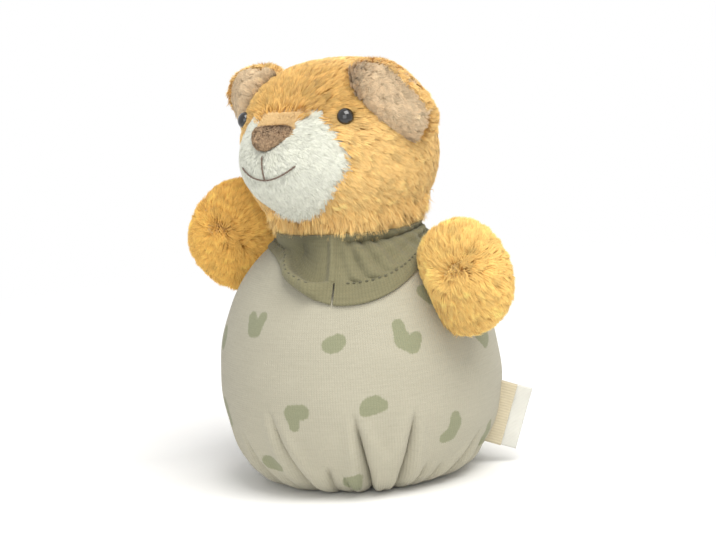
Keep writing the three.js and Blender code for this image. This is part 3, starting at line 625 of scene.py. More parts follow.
# %% Spots as strokes
SPOT_STROKES = {
    # strokes of each kind: both ends, then half the width
    "comma": [(-1.5, -3.0, -1.9, 1.0, 1.8), (-1.9, 1.4, 1.8, 1.9, 2.5)],
    "cap": [(-2.9, -0.9, 2.9, -0.7, 1.8), (-1.2, 0.6, 0.8, 0.8, 2.4)],
    "crescent": [(-1.7, -3.9, 0.5, -2.6, 1.9), (0.5, -2.6, 1.3, 1.0, 2.2), (1.3, 1.0, 0.2, 3.6, 1.7)],
    "lobes": [(-2.5, 2.0, -1.3, -1.8, 1.9), (2.6, 2.4, 1.3, -1.6, 1.9), (-1.0, -2.2, 1.0, -2.0, 1.9)],
    "bean": [(-1.6, -0.8, 0, -0.2, 2.4), (0, -0.2, 1.3, 1.0, 2.3)],
    "heart": [(-3.1, 3.2, -1.4, -1.4, 2.1), (-1.4, -1.4, 2.2, -2.6, 2.3), (2.2, -2.6, 3.3, 0.2, 1.9)],
}
SPOTS = [
    # kind, degrees round the bag, height, turn
    ("lobes", -18, 57, 0), ("bean", 23, 52, -10), ("heart", 54, 52, -15), ("comma", 6, 29, 0),
    ("cap", 37, 32, 10), ("crescent", 71, 21, -12), ("comma", 101, 13, 200), ("bean", -47, 50, 60),
    ("crescent", -43, 26, 30), ("bean", 70, 63, 100), ("cap", 25, 6, 80), ("lobes", 96, 47, 30),
    ("bean", -76, 64, 20), ("heart", -82, 38, 40),
    ("comma", -106, 55, 120), ("cap", -112, 24, 190), ("crescent", 129, 58, 20), ("bean", 128, 34, 140),
    ("heart", 152, 48, 170), ("comma", 156, 22, 60), ("cap", 181, 61, 30), ("lobes", 184, 37, 210),
    ("crescent", 206, 52, 80), ("bean", 214, 27, 10), ("heart", 236, 42, 90), ("comma", -60, 9, 20),
    ("bean", -14, 12, 130), ("cap", 118, 8, 20), ("crescent", 182, 14, 150),
]
MELT = 0.7
NO_SPOT = 20.0


def stroke_distance(x, y, x0, y0, x1, y1, radius):
    """Distance to a round-ended stroke, less than 0 inside."""
    dx, dy = x1 - x0, y1 - y0
    share = np.clip(((x - x0) * dx + (y - y0) * dy) / (dx * dx + dy * dy), 0, 1)
    return np.hypot(x - x0 - share * dx, y - y0 - share * dy) - radius


def spot_distance(angle, along, radius):
    """Distance to the nearest spot from places given by their angle and their length along the outline."""
    nearest = np.full(angle.shape, NO_SPOT)
    for kind, place, height, turn in SPOTS:
        middle = np.interp(height, bag_height[len(UNDER_RADII):], bag_length[len(UNDER_RADII):])
        x = np.radians((angle - place + 180) % 360 - 180) * radius
        y = along - middle
        c, s = math.cos(math.radians(turn)), math.sin(math.radians(turn))
        strokes = [stroke_distance(c * x + s * y, c * y - s * x, *stroke) for stroke in SPOT_STROKES[kind]]
        melted = -MELT * np.log(sum(np.exp(-np.clip(part, -8, 40) / MELT) for part in strokes))
        nearest = np.minimum(nearest, melted)
    return nearest


print("spots:", len(SPOTS))

# %% Panels of the bag
SEAM_PULL = 1.0


def bag_panel(name, first, last, columns, node):
    angle, radius = np.meshgrid(np.linspace(first, last, columns), bag_radius)
    height = np.repeat(bag_height[:, None], columns, 1)
    along = np.repeat(bag_length[:, None], columns, 1)
    beside = np.radians(np.minimum(angle - first, last - angle)) * radius
    pull = SEAM_PULL * np.exp(-((beside / 1.1) ** 2)) * smooth(bag_height[:, None], 1, 8)
    loose = smooth(height, 4, 16) * (1 - smooth(height, 66, 78))
    move, shift = (part * smooth(bag_length[:, None], 0, 6) for part in gather(angle, height, radius))
    move = move + slack(angle, height) * loose - pull - neck_dent(angle, height)
    reach = radius + slope[:, None, 0] * move
    rise = np.maximum(height + slope[:, None, 1] * move, 0.25)
    turn = np.radians(angle) + shift / radius
    points = np.stack([reach * np.sin(turn), -reach * np.cos(turn), rise], -1)
    across = np.radians(angle) * BELLY_RADIUS
    piece = new_grid(name, points, False, across, along, BEIGE, "body", [node])
    keep_numbers(piece, "Spot", "FLOAT", spot_distance(angle, along, radius))
    print(name, "faces:", len(piece.data.polygons))


bag_panel("body_front_cloth", -SEAM_ANGLE, SEAM_ANGLE, 440, "body_front_panel")
bag_panel("body_back_cloth", SEAM_ANGLE, 360 - SEAM_ANGLE, 160, "body_back_panel")

# %% [markdown]
# ## Base disc
# A disc of the same jersey closes the gathered hole, and the toy stands on it. It is flat in the middle and
# puckers where the gathers are sewn to it, so it is a polar grid with a small ripple near its rim.

# %% The base
BASE_CLOTH_RADIUS = BASE_OPENING - 0.3


def make_base():
    rings, columns = 26, 120
    share, angle = rows_and_columns(np.linspace(0.02, 1, rings), full_turn(columns, 360))
    turn = np.radians(angle)
    radius = share * BASE_CLOTH_RADIUS
    ripple = smooth(share, 0.72, 1) * (0.35 + 0.35 * np.cos(27 * turn))
    lift = np.where(share > 0.97, 0.5, 0)
    points = np.stack([radius * np.sin(turn), -radius * np.cos(turn), 0.02 + ripple + lift], -1)
    wide = np.concatenate([turn, np.full((rings, 1), math.tau)], 1)
    far = np.concatenate([radius, radius[:, :1]], 1)
    across, along = far * np.sin(wide), far * np.cos(wide)
    piece = new_grid("base_cloth", points, True, across, along, BEIGE, "body", ["base_panel"])
    keep_numbers(piece, "Spot", "FLOAT", np.full(rings * columns, NO_SPOT))
    print("base radius:", BASE_CLOTH_RADIUS)


make_base()

# %% [markdown]
# ## Neckerchief
# A tube of sage jersey stands round the neck. Its front hangs in a bib with a wide topstitched hem. On the
# toy's right the hem stands away from the shoulder like the lip of a pocket, and the recess behind it is
# painted darker
# as painted shade; on its left the hem lies flat. A cloth simulation would let that lip fall, so the drape is
# a formula:
# the bag's own shoulder, plus how far the cloth stands off it between the hem and the upper edge.

# %% The drape
KERCHIEF_RADIUS = 23.5
KERCHIEF_TOP = 83
KERCHIEF_CLOTH = 0.9
KERCHIEF_MEAN_RADIUS = 30
KERCHIEF_MAP_HEIGHT = 18
BAND_SHARE = 2 / 6
LIP = 7
LIP_BELOW = 76.6
SEAM_AT = 22


def upper_height(angle):
    return KERCHIEF_TOP + 0.3 * np.sin(np.radians(3 * angle))


def lip_share(angle):
    """How far the hem stands off the shoulder: 1 on the toy's right, 0 on its left."""
    return smooth(LIP_BELOW - hem_height(angle), 0, 7) * (1 - smooth(angle, 8, SEAM_AT + 2))


def drape_knots(angle):
    """Seven places of the cloth from its hem to its upper edge, as radii and heights."""
    low = hem_height(angle)
    tall = upper_height(angle) - low
    stand = lip_share(angle)
    flat = np.stack([low + tall * share for share in (0, 0.14, 0.28, 0.36, 0.6, 0.85, 1)])
    open_lip = np.stack([low + tall * share for share in (0, 0.1, 0.26, 0.16, 0.45, 0.85, 1)])
    heights = flat * (1 - stand) + open_lip * stand
    radii = np.maximum(shoulder_radius(heights) - neck_dent(angle, heights), KERCHIEF_RADIUS - 1)
    radii = radii + np.array([0.8, 1.4, 1.5, 1.2, 1.1, 0.9, 1.3]).reshape(-1, *[1] * angle.ndim)
    radii[1] += 0.6 * LIP * stand
    radii[2] += LIP * stand
    return radii, heights


def through(knots, share):
    """A smooth curve through evenly spaced knots."""
    place = np.clip(share, 0, 1) * (len(knots) - 1)
    first = np.minimum(place.astype(int), len(knots) - 2)
    part = place - first
    near = [np.clip(first + step, 0, len(knots) - 1)[None] for step in (-1, 0, 1, 2)]
    a, b, c, d = (np.take_along_axis(knots, index, 0)[0] for index in near)
    square = a - 2.5 * b + 2 * c - d / 2
    cube = (d - a) / 2 + 1.5 * (b - c)
    return b + part * ((c - a) / 2 + part * (square + part * cube))


def wrinkle(angle, share):
    """Small folds: a ridge at the seam, slanting gathers beside it and a deep fold under the left cheek."""
    middle = smooth(share, 0.3, 0.5) * (1 - smooth(share, 0.8, 1))
    ridge = 1.5 * np.exp(-(((angle - SEAM_AT + 3 * share) / 2.2) ** 2)) * middle
    left = smooth(angle, 24, 36) * (1 - smooth(angle, 105, 135))
    fewer = 1 - smooth(angle, 40, 75) * 0.6
    gathers = left * middle * 0.8 * np.sin(math.tau * (angle + 26 * share) / 11) * fewer
    line = 0.8 - 0.0012 * (angle - 70)
    roll = 1.3 * np.exp(-(((share - line + 0.12) / 0.08) ** 2))
    dip = 1.6 * np.exp(-(((share - line) / 0.045) ** 2))
    fold = left * (roll - dip)
    waves = 0.35 * np.sin(np.radians(angle) * 6 + 7 * share) * middle
    at_band = np.exp(-(((share - BAND_SHARE) / 0.16) ** 2))
    pucker = 0.25 * np.sin(math.tau * angle / 8.5 + 2 * np.sin(angle / 9)) * at_band
    return ridge + gathers + fold + waves + pucker


def drape_point(angle, share, lift=0.0):
    """Points of the cloth's middle, or lifted off it."""
    angle, share = np.broadcast_arrays(np.asarray(angle, float), np.asarray(share, float))
    radii, heights = drape_knots(angle)
    off = wrinkle(angle, share) + lift
    radius, height = through(radii, share) + off, through(heights, share) + 0.4 * off
    turn = np.radians(angle)
    return np.stack([radius * np.sin(turn), -radius * np.cos(turn), height], -1)


def make_kerchief():
    rows, columns = 66, 720
    turn = full_turn(columns, 360) - 180 + SEAM_AT
    share, angle = rows_and_columns(np.linspace(0, 1, rows), turn)
    around = (angle + 180) % 360 - 180
    points = drape_point(around, share)
    corners = grid_corners(rows, columns, True)
    row, column = corners[..., 0], corners[..., 1]
    slit = (np.abs(column.mean(1) - columns / 2) < 0.8) & (row.mean(1) / (rows - 1) < BAND_SHARE)
    corners = corners[~slit]
    piece = new_piece("neckerchief_cloth", points.reshape(-1, 3), grid_faces(corners, columns), SAGE, "body",
                      ["neckerchief"])
    row, column = corners[..., 0], corners[..., 1]
    across = np.radians(column / 2) * KERCHIEF_MEAN_RADIUS
    lay_map(piece, "Cloth", np.stack([across, row / (rows - 1) * KERCHIEF_MAP_HEIGHT], -1))
    lay_map(piece, "OFBake", np.stack([column / columns, row / (rows - 1)], -1))
    # painted shade: where the recess behind the lip is painted darker, and how much
    turned = lip_share(around) * (1 - smooth(around, -22, SEAM_AT)) * smooth(share, 0.34, 0.46)
    keep_numbers(piece, "RecessShade", "FLOAT", turned)
    thick = piece.modifiers.new("cloth", "SOLIDIFY")
    thick.thickness = KERCHIEF_CLOTH * MM
    thick.offset = 0
    mean_height = np.linalg.norm(np.diff(points, axis=0), axis=2).mean()
    mean_width = np.linalg.norm(points - np.roll(points, 1, 1), axis=2).mean()
    area = mean_height * mean_width * (rows - 1) * columns
    print("neckerchief area in square centimetres:", round(float(area) / 100, 1))
    return piece, float(area)


kerchief, kerchief_area = make_kerchief()

# %% [markdown]
# ## Topstitching
# A row of small stitches holds the hem. A dashed line in the finish would stay flat, so each stitch is a
# short bead of thread that dips into the cloth at both ends. One mesh holds the whole row.

# %% Stitches
STITCH_STEPS = 7
STITCH_SIDES = 8
TOPSTITCH_STEP = 3.4
TOPSTITCH_LENGTH = 1.9
TOPSTITCH_LIFT = 0.42
TOPSTITCH_RADIUS = 0.3


def stitch_mesh(starts, ends, ways, radius):
    """Short round threads between pairs of points, sunk at their ends."""
    shares = np.linspace(0, 1, STITCH_STEPS)
    turns = full_turn(STITCH_SIDES)
    along = unit(ends - starts)
    side = unit(np.cross(along, ways))
    up = np.cross(side, along)
    arch = np.sin(math.pi * shares)
    straight = starts[:, None] + (ends - starts)[:, None] * shares[:, None]
    points = straight + up[:, None] * (radius * arch * 0.8)[:, None]
    girth = radius * (0.35 + 0.65 * arch**0.5)
    ring = side[:, None] * np.cos(turns)[:, None] + up[:, None] * np.sin(turns)[:, None]
    tube = points[:, :, None] + ring[:, None] * girth[:, None, None]
    faces = grid_faces(grid_corners(STITCH_STEPS, STITCH_SIDES, True), STITCH_SIDES)
    every = faces[None] + (np.arange(len(starts)) * STITCH_STEPS * STITCH_SIDES)[:, None, None]
    return tube.reshape(-1, 3), every.reshape(-1, 4)


def make_topstitch():
    angles = np.arange(SEAM_AT + 7, SEAM_AT + 350, TOPSTITCH_STEP)
    angles = (angles + 180) % 360 - 180
    starts = drape_point(angles, BAND_SHARE, TOPSTITCH_LIFT)
    ends = drape_point(angles + TOPSTITCH_LENGTH, BAND_SHARE, TOPSTITCH_LIFT)
    ways = unit(drape_point(angles, BAND_SHARE, 1.0) - drape_point(angles, BAND_SHARE, 0.0))
    points, faces = stitch_mesh(starts, ends, ways, TOPSTITCH_RADIUS)
    piece = new_piece("neckerchief_topstitch", points, faces, SAGE_THREAD, "body")
    print("topstitches:", len(angles))
    return piece


topstitch = make_topstitch()

# %% [markdown]
# ## Growing pile
# Every plush piece is made the same way: a skin, places scattered evenly over it, and a tapered blade at
# each place. A blade leans along the way the pile was brushed, and its tip is drawn to its neighbours,
# because real pile parts into small tufts with dark gaps between them.

# %% Scatter and grow
MOST_BLADES = 60000
BLADE_STEPS = np.array([0, 0.55, 1.0])
BLADE_POINTS = 5
BLADE_FACES = np.array([(0, 1, 3), (0, 3, 2), (2, 3, 4)])
PILES = {
    # length, height of the tips, width, how far tips draw together, strays, blades in a tuft, mottling
    "yellow": (4.6, 1.9, 0.22, 0.55, 0.22, 34, 0.09),
    "paw": (4.9, 2.2, 0.24, 0.55, 0.24, 36, 0.1),
    "white": (2.8, 1.0, 0.2, 0.36, 0.28, 24, 0.04),
    "tan": (3.4, 1.2, 0.2, 0.6, 0.24, 30, 0.11),
    "rim": (3.4, 1.4, 0.22, 0.5, 0.25, 30, 0.09),
    "bridge": (1.1, 0.4, 0.2, 0.2, 0.4, 5, 0.03),
    "nose": (1.0, 0.5, 0.22, 0.35, 0.5, 12, 0.14),
}


def scatter(points, faces, density, random):
    """Random places on a mesh of triangles, evenly over its area, and the way out at each."""
    ways = vertex_ways(points, faces)
    a, b, c = (points[faces[:, i]] for i in range(3))
    area = np.linalg.norm(np.cross(b - a, c - a), axis=1)
    count = int(area.sum() / 2 * density)
    pick = faces[random.choice(len(faces), count, p=area / area.sum())]
    share = random.random((count, 2))
    share = np.where(share.sum(1, keepdims=True) > 1, 1 - share, share)
    weight = np.column_stack([1 - share.sum(1), share])[..., None]
    return (points[pick] * weight).sum(1), unit((ways[pick] * weight).sum(1))


def tuft_of(roots, blades, random):
    """For each root, the number of the nearest of a few roots that lead their tufts."""
    leaders = random.choice(len(roots), max(len(roots) // blades, 1), replace=False)
    tree = kdtree.KDTree(len(leaders))
    for number in leaders:
        tree.insert(roots[number], int(number))
    tree.balance()
    return np.array([tree.find(root)[1] for root in roots])


def grow(name, roots, ways, flow, pile, tones, finish, body, seed, longer=1.0, painted_shade=1.0, loose=0.0):
    """Blades of pile at these roots. Tones are the colours of root and tip, and loose blades hang free."""
    random = np.random.default_rng(seed)
    length, rise, width, draw, stray, blades, mottle = PILES[pile]
    count = len(roots)
    lean = unit(flow) + random.normal(0, stray, (count, 3))
    lean = unit(lean - ways * (lean * ways).sum(1, keepdims=True) * (1 - loose))
    long = length * longer * random.uniform(0.75, 1.15, count)
    high = rise * random.uniform(0.7, 1.2, count)
    far = np.sqrt(np.maximum(long**2 - high**2, (0.3 * long) ** 2))
    step = BLADE_STEPS[None, :, None]
    path = roots[:, None] + ways[:, None] * high[:, None, None] * (1 - (1 - step) ** 2)
    path = path + lean[:, None] * far[:, None, None] * step**1.25
    tuft = tuft_of(roots, blades, random)
    path = path + draw * step**1.2 * (path[tuft] - path)
    ahead = np.gradient(path, axis=1)
    side = unit(np.cross(ahead, ways[:, None]))
    face = unit(np.cross(side, ahead))
    twist = random.uniform(-0.6, 0.6, count)[:, None, None]
    side = side * np.cos(twist) + face * np.sin(twist)
    half = width / 2 * random.uniform(0.7, 1.2, count)[:, None, None]
    spread = half * side[:, :2]
    pairs = np.stack([path[:, :2] - spread, path[:, :2] + spread], 2).reshape(count, 4, 3)
    points = np.concatenate([pairs, path[:, 2:]], 1)
    light = np.array([0, 0, 0.6, 0.6, 1.0])[None, :, None]
    shade = np.array(tones[0][:3]) * (1 - light) + np.array(tones[1][:3]) * light
    tone = random.normal(1, mottle, count)[tuft] * random.normal(1, 0.04, count)
    # painted shade: whole blades are darkened here, on the brow and on the right paw
    shade = np.clip(shade * tone[:, None, None] * np.broadcast_to(painted_shade, (count, 3))[:, None], 0, 1)
    parts = np.array_split(np.argsort(roots[:, 0]), math.ceil(count / MOST_BLADES))
    for number, part in enumerate(parts):
        faces = BLADE_FACES[None] + (np.arange(len(part)) * BLADE_POINTS)[:, None, None]
        title = name if len(parts) == 1 else f"{name}_{number + 1}"
        piece = new_piece(title, points[part].reshape(-1, 3), faces.reshape(-1, 3), finish, body)
        opaque = np.ones((len(part), BLADE_POINTS, 1))
        keep_numbers(piece, "Pile", "FLOAT_COLOR", np.concatenate([shade[part], opaque], 2))
        lay_blades(piece, len(part))
    print(name, "blades:", count)


def lay_blades(piece, count):
    """A map with one small cell for each blade."""
    cells = math.ceil(math.sqrt(count))
    number = np.arange(count)
    corner = np.stack([number % cells, number // cells], -1)
    inside = np.array([(0.2, 0.1), (0.8, 0.1), (0.2, 0.5), (0.8, 0.5), (0.5, 0.95)])
    places = (corner[:, None, None] + inside[BLADE_FACES][None]) / cells
    lay_map(piece, "OFBake", places)


YELLOW_TONES = (colour(212, 156, 72), colour(250, 216, 146))
PAW_TONES = (colour(210, 150, 60), colour(255, 218, 134))
WHITE_TONES = (colour(216, 216, 202), colour(238, 239, 226))
TAN_TONES = (colour(176, 150, 114), colour(236, 212, 176))
BRIDGE_TONES = (colour(206, 166, 106), colour(230, 198, 144))
NOSE_TONES = (colour(130, 102, 74), colour(190, 162, 130))
print("pile kinds:", ", ".join(PILES))

# %% [markdown]
# ## Head
# The head is a squared ball with a muzzle that grows out of it. Four plush panels cover it: the yellow face,
# the yellow back, the white muzzle and the short tan bridge of the nose. They could be four meshes that meet,
# but one formula gives the surface, so the panels share it, and each keeps only the part of the skin and of
# the pile that lies within its own outline.

# %% Surface of the head
PIVOT_HEIGHT = 80
HEAD_TILT = -2.5
HEAD_TURN = -6.5
HEAD_MIDDLE = np.array([0, 0, 28.0])
HEAD_HALF = np.array([31, 29.5, 28.5])
HEAD_SQUARENESS = 2.3
HEAD_SEAM_BACK = -4
MUZZLE_MIDDLE = np.array([0, -18, -1.0])
MUZZLE_HALF = np.array([20.5, 20.5, 16])
FACE_BLEND = 7
NECK_HOLE = 17.6
SKIN_DEPTH = {"face": 1.7, "back": 1.7, "muzzle": 1.0, "bridge": 0.4}


def head_radius(ways):
    """Distance from the middle of the head to its surface."""
    skull = (np.abs(ways / HEAD_HALF) ** HEAD_SQUARENESS).sum(-1) ** (-1 / HEAD_SQUARENESS)
    ray = ways / MUZZLE_HALF
    middle = MUZZLE_MIDDLE / MUZZLE_HALF
    reach = ray @ middle
    size = (ray**2).sum(-1)
    inside = reach**2 - size * ((middle**2).sum() - 1)
    muzzle = (reach + np.sqrt(np.maximum(inside, 0))) / size
    blend = np.maximum(FACE_BLEND - np.abs(skull - muzzle), 0) / FACE_BLEND
    return np.maximum(skull, muzzle) + blend**2 * FACE_BLEND / 4


def face_points(out, up, offset=0.0):
    """Points of the face in front of places in the front view, measured from the middle of the head."""
    out, up = np.broadcast_arrays(np.asarray(out, float), np.asarray(up, float))
    near, far = np.zeros(out.shape), np.full(out.shape, 70.0)
    for _ in range(40):
        middle = (near + far) / 2
        place = np.stack([out, -middle, up], -1)
        inside = np.linalg.norm(place, axis=-1) < head_radius(unit(place)) + offset
        near, far = np.where(inside, middle, near), np.where(inside, far, middle)
    return np.stack([out, -near, up], -1)


def place_head(points):
    """Points measured from the middle of the head, in the toy's own frame."""
    turn = Matrix.Rotation(math.radians(HEAD_TURN), 3, "Z") @ Matrix.Rotation(math.radians(HEAD_TILT), 3, "Y")
    return (points + HEAD_MIDDLE) @ np.array(turn).T + np.array([0, 0, PIVOT_HEIGHT])


def turn_head(ways):
    return place_head(ways) - place_head(np.zeros(3))


print("nose reaches forward:", round(float(face_points(0, 8)[1]), 1))

# %% Panels of the head
PATCH_HEIGHTS = [-18.5, -17, -14, -10, -2, 3, 7, 11, 14, 15.2]
PATCH_WIDTHS = [0, 7.5, 12.5, 16.3, 21.5, 20.4, 17.8, 14.6, 12, 0]
BRIDGE_HALF_WIDTH = 7.6
BRIDGE_LOW = 7.8
BRIDGE_TOP = 15
NOSE_HEIGHTS = [4.4, 4.9, 6.0, 7.6, 9.3, 10.5, 11.2]
NOSE_WIDTHS = [0.3, 2.4, 4.4, 6.4, 7.7, 7.2, 4.8]
EYE_OUT = 21
EYE_UP = 12.2
DART_DEPTH = 1.3
DART_WIDTH = 1.6
DARTS = [np.array([[side * 19.4, -26.7, -10], [side * 18.7, -16.5, -22.6]]) for side in (1, -1)]


def panel_of(points):
    """The panel that each point of the head belongs to."""
    out, up = points[:, 0], points[:, 2]
    ragged = 0.3 * np.sin(1.9 * up) + 0.3 * np.sin(1.3 * out + 2.1 * up)
    patch = np.abs(out) < np.interp(up, PATCH_HEIGHTS, PATCH_WIDTHS) + ragged
    patch &= (np.abs(out) > BRIDGE_HALF_WIDTH + 1) | (up < BRIDGE_TOP - 3)
    bridge = np.abs(out) < BRIDGE_HALF_WIDTH + 0.4 * ragged
    bridge &= (up > BRIDGE_LOW) & (up < BRIDGE_TOP + 0.3 * ragged)
    names = np.where(patch, "muzzle", "face")
    names = np.where(bridge, "bridge", names)
    return np.where(points[:, 1] > HEAD_SEAM_BACK, "back", np.where(points[:, 1] > -9, "face", names))


def segment_distance(points, ends):
    along = ends[1] - ends[0]
    share = np.clip((points - ends[0]) @ along / (along @ along), 0, 1)
    return np.linalg.norm(points - ends[0] - share[:, None] * along, axis=1)


def dart_distance(points):
    return np.minimum(segment_distance(points, DARTS[0]), segment_distance(points, DARTS[1]))


def head_skin():
    """The whole skin of the head, a little under the solids, with the two darts of the cheeks drawn in."""
    rows, columns = 120, 180
    up, turn = rows_and_columns(np.linspace(-88, 88, rows), full_turn(columns, 360))
    up, turn = np.radians(up), np.radians(turn)
    ways = np.stack([np.cos(up) * np.sin(turn), -np.cos(up) * np.cos(turn), np.sin(up)], -1).reshape(-1, 3)
    points = ways * head_radius(ways)[:, None]
    depth = np.vectorize(SKIN_DEPTH.get)(panel_of(points))
    points = points - ways * depth[:, None]
    pull = DART_DEPTH * np.exp(-((dart_distance(points) / DART_WIDTH) ** 2))
    points = points - ways * pull[:, None]
    return points, grid_faces(grid_corners(rows, columns, True), columns)


skin_points, skin_faces = head_skin()
skin_middle = skin_points[skin_faces].mean(1)
skin_panel = panel_of(skin_middle)
open_neck = np.linalg.norm(skin_middle + HEAD_MIDDLE, axis=1) < NECK_HOLE - 1
print("faces of each panel:", {name: int((skin_panel == name).sum()) for name in SKIN_DEPTH})

# %% Skins of the head
def skin_piece(name, panel, finish, node):
    faces = skin_faces[(skin_panel == panel) & ~open_neck]
    used, again = np.unique(faces, return_inverse=True)
    piece = new_piece(name, place_head(skin_points[used]), again.reshape(-1, 4), finish, "head", [node])
    way = unit(skin_points[used])
    around = np.arctan2(way[:, 0], -way[:, 1]) / math.tau + 0.5
    upward = np.arcsin(way[:, 2]) / math.pi + 0.5
    places = np.stack([around, upward], -1)[again.reshape(-1, 4)]
    places[..., 0] += (places[..., 0] < places[..., 0].max(1, keepdims=True) - 0.5)
    lay_map(piece, "OFBake", places / np.maximum(places.max((0, 1)), 1))


skin_piece("head_face_skin", "face", YELLOW_BACKING, "head_face_panel")
skin_piece("head_back_skin", "back", YELLOW_BACKING, "head_back_panel")
skin_piece("muzzle_skin", "muzzle", WHITE_BACKING, "muzzle_panel")
skin_piece("nose_bridge_skin", "bridge", BRIDGE_BACKING, "nose_bridge")
print("head skins ready")

# %% [markdown]
# ## Pile of the head
# The pile is brushed away from the nose: up the forehead, back over the cheeks and down the chin. It is
# left out where the eyes, the nose and the mouth sit, and it thins along the darts, which show as dark lines.

# %% Grow the head's pile
SMILE_HALF_WIDTH = 11
SMILE_RISE = 4
MOUTH_TOP = 2.8
MOUTH_LOW = -5
JAW = 14
EYE_BARE = 2.2
MOUTH_BARE = 0.35
# painted shade on the forehead pile: how much each channel is darkened towards the brow
BROW_PAINTED_SHADE = np.array([0.16, 0.23, 0.38])


def mouth_lines():
    """The two stitched lines of the mouth in the front view."""
    smile = np.linspace(-SMILE_HALF_WIDTH, SMILE_HALF_WIDTH, 45)
    rise = MOUTH_LOW + SMILE_RISE * (smile / SMILE_HALF_WIDTH) ** 2
    line = np.linspace(MOUTH_TOP, MOUTH_LOW, 16)
    return [np.column_stack([smile, rise]), np.column_stack([np.zeros(16), line])]


def mouth_distance(points):
    places = np.concatenate(mouth_lines())
    gap = points[:, None, [0, 2]] - places[None]
    return np.linalg.norm(gap, axis=2).min(1)


def bare(points):
    """Where no pile grows: under the nose, the eyes and the mouth, and inside the neck."""
    out, up = points[:, 0], points[:, 2]
    front = points[:, 1] < 0
    nose = (np.abs(out) < np.interp(up, NOSE_HEIGHTS, NOSE_WIDTHS, left=-1, right=-1) - 0.3) & front
    eyes = np.zeros(len(points), bool)
    for side in (1, -1):
        eyes |= np.linalg.norm(points - face_points(side * EYE_OUT, EYE_UP), axis=1) < EYE_BARE
    mouth = front & (mouth_distance(points) < MOUTH_BARE)
    neck = np.linalg.norm(points + HEAD_MIDDLE, axis=1) < NECK_HOLE
    return nose | eyes | mouth | neck


def grow_head():
    random = np.random.default_rng(11)
    faces = triangles(skin_faces)
    wanted = {
        "face": (20.0, "yellow", YELLOW_TONES, YELLOW_PILE, "plush_yellow"),
        "back": (16.0, "yellow", YELLOW_TONES, YELLOW_PILE, "plush_yellow"),
        "muzzle": (32.0, "white", WHITE_TONES, WHITE_PILE, "plush_white"),
        "bridge": (40.0, "bridge", BRIDGE_TONES, BRIDGE_PILE, "plush_bridge"),
    }
    nose_tip = face_points(0, 7)
    for number, (panel, (density, pile, tones, finish, slot)) in enumerate(wanted.items()):
        roots, ways = scatter(skin_points, faces, density, random)
        mine = panel_of(roots + random.normal(0, 0.45, roots.shape)) == panel
        roots, ways = roots[mine], ways[mine]
        dart = dart_distance(roots)
        keep = ~bare(roots) & (random.random(len(roots)) < smooth(dart, 0.2, DART_WIDTH))
        roots, ways = roots[keep], ways[keep]
        flow = unit(roots - nose_tip) + np.array([0, 0, -0.4])
        flow = flow - smooth(roots[:, 1:2], -6, 14) * np.array([0, 0, 0.7])
        jaw = smooth(-roots[:, 2:], JAW, JAW + 7)
        hang = unit(roots * np.array([1, 1, 0])) * 0.25 - np.array([0, 0, 1.0])
        flow = unit(flow) * (1 - jaw) + hang * jaw
        # painted shade: the brow's pile is painted darker and more orange
        brow = smooth(roots[:, 2:], 8, 15) * smooth(-roots[:, 1:2], 4, 14)
        painted_shade = 1 - brow * BROW_PAINTED_SHADE if panel == "face" else 1.0
        longer = 1 + 0.3 * jaw[:, 0] if panel in ("face", "back") else 1.0
        grow(panel + "_pile", place_head(roots), turn_head(ways), turn_head(flow), pile, tones, finish,
             "head", 100 + number, longer, painted_shade, jaw)


grow_head()

# %% [markdown]
# ## Nose and mouth
# The nose is a small stuffed pad of short brown pile, and the mouth is stitched. The pad is a grid that fills
# the nose's outline and swells in the middle. The mouth is a row of overlapping stitches on the muzzle.

# %% The nose
NOSE_THICKNESS = 1.8


def make_nose():
    rows, columns = 26, 40
    low, high = NOSE_HEIGHTS[0], NOSE_HEIGHTS[-1]
    up, across = rows_and_columns(np.linspace(low, high, rows), np.linspace(-1, 1, columns))
    middle = (low + high) / 2
    half = (high - low) / 2
    swell = np.sqrt(np.maximum(1 - across**2, 0)) * np.sqrt(np.maximum(1 - ((up - middle) / half) ** 4, 0))
    out = np.interp(up, NOSE_HEIGHTS, NOSE_WIDTHS) * across
    points = face_points(out, up)
    points = points + unit(points) * ((NOSE_THICKNESS + 0.6) * swell - 0.4)[..., None]
    flat = points.reshape(-1, 3)
    placed = place_head(flat).reshape(points.shape)
    piece = new_grid("nose_pad", placed, False, out, up, NOSE_BACKING, "head", ["nose"])
    faces = grid_faces(grid_corners(rows, columns, False), columns)
    roots, ways = scatter(flat, triangles(faces), 40.0, np.random.default_rng(21))
    flow = roots - face_points(0, 14)
    grow("nose_pile", place_head(roots), turn_head(ways), turn_head(flow), "nose", NOSE_TONES, NOSE_PILE,
         "head", 120)


make_nose()

# %% The mouth
MOUTH_STEP = 1.5
MOUTH_STITCH = 2.1
MOUTH_LIFT = 0.35
MOUTH_THREAD = 0.27


def make_mouth():
    starts, ends, ways = [], [], []
    for line in mouth_lines():
        gaps = np.linalg.norm(np.diff(line, axis=0), axis=1)
        length = np.concatenate([[0], np.cumsum(gaps)])
        for place in np.arange(0, length[-1] - 0.8, MOUTH_STEP):
            ends_at = np.minimum([place, place + MOUTH_STITCH], length[-1])
            out, up = (np.interp(ends_at, length, line[:, axis]) for axis in (0, 1))
            pair = face_points(out, up, MOUTH_LIFT)
            starts.append(pair[0])
            ends.append(pair[1])
            ways.append(unit(pair[0]))
    points, faces = stitch_mesh(np.array(starts), np.array(ends), np.array(ways), MOUTH_THREAD)
    new_piece("mouth_thread", place_head(points), faces, EMBROIDERY, "head", ["mouth_stitch"])
    print("mouth stitches:", len(starts))


make_mouth()

# %% [markdown]
# ## Eyes
# Each eye is a polished bead on a post. It is a turned outline, so it is exactly round and its highlight
# is clean.

# %% The eyes
EYE_RADIUS = 2.7
EYE_DOME = 2.3
EYE_SIDES = 48
POST_RADIUS = 1.1
POST_LENGTH = 6.5
EYE_UNDERSIDE = 0.9


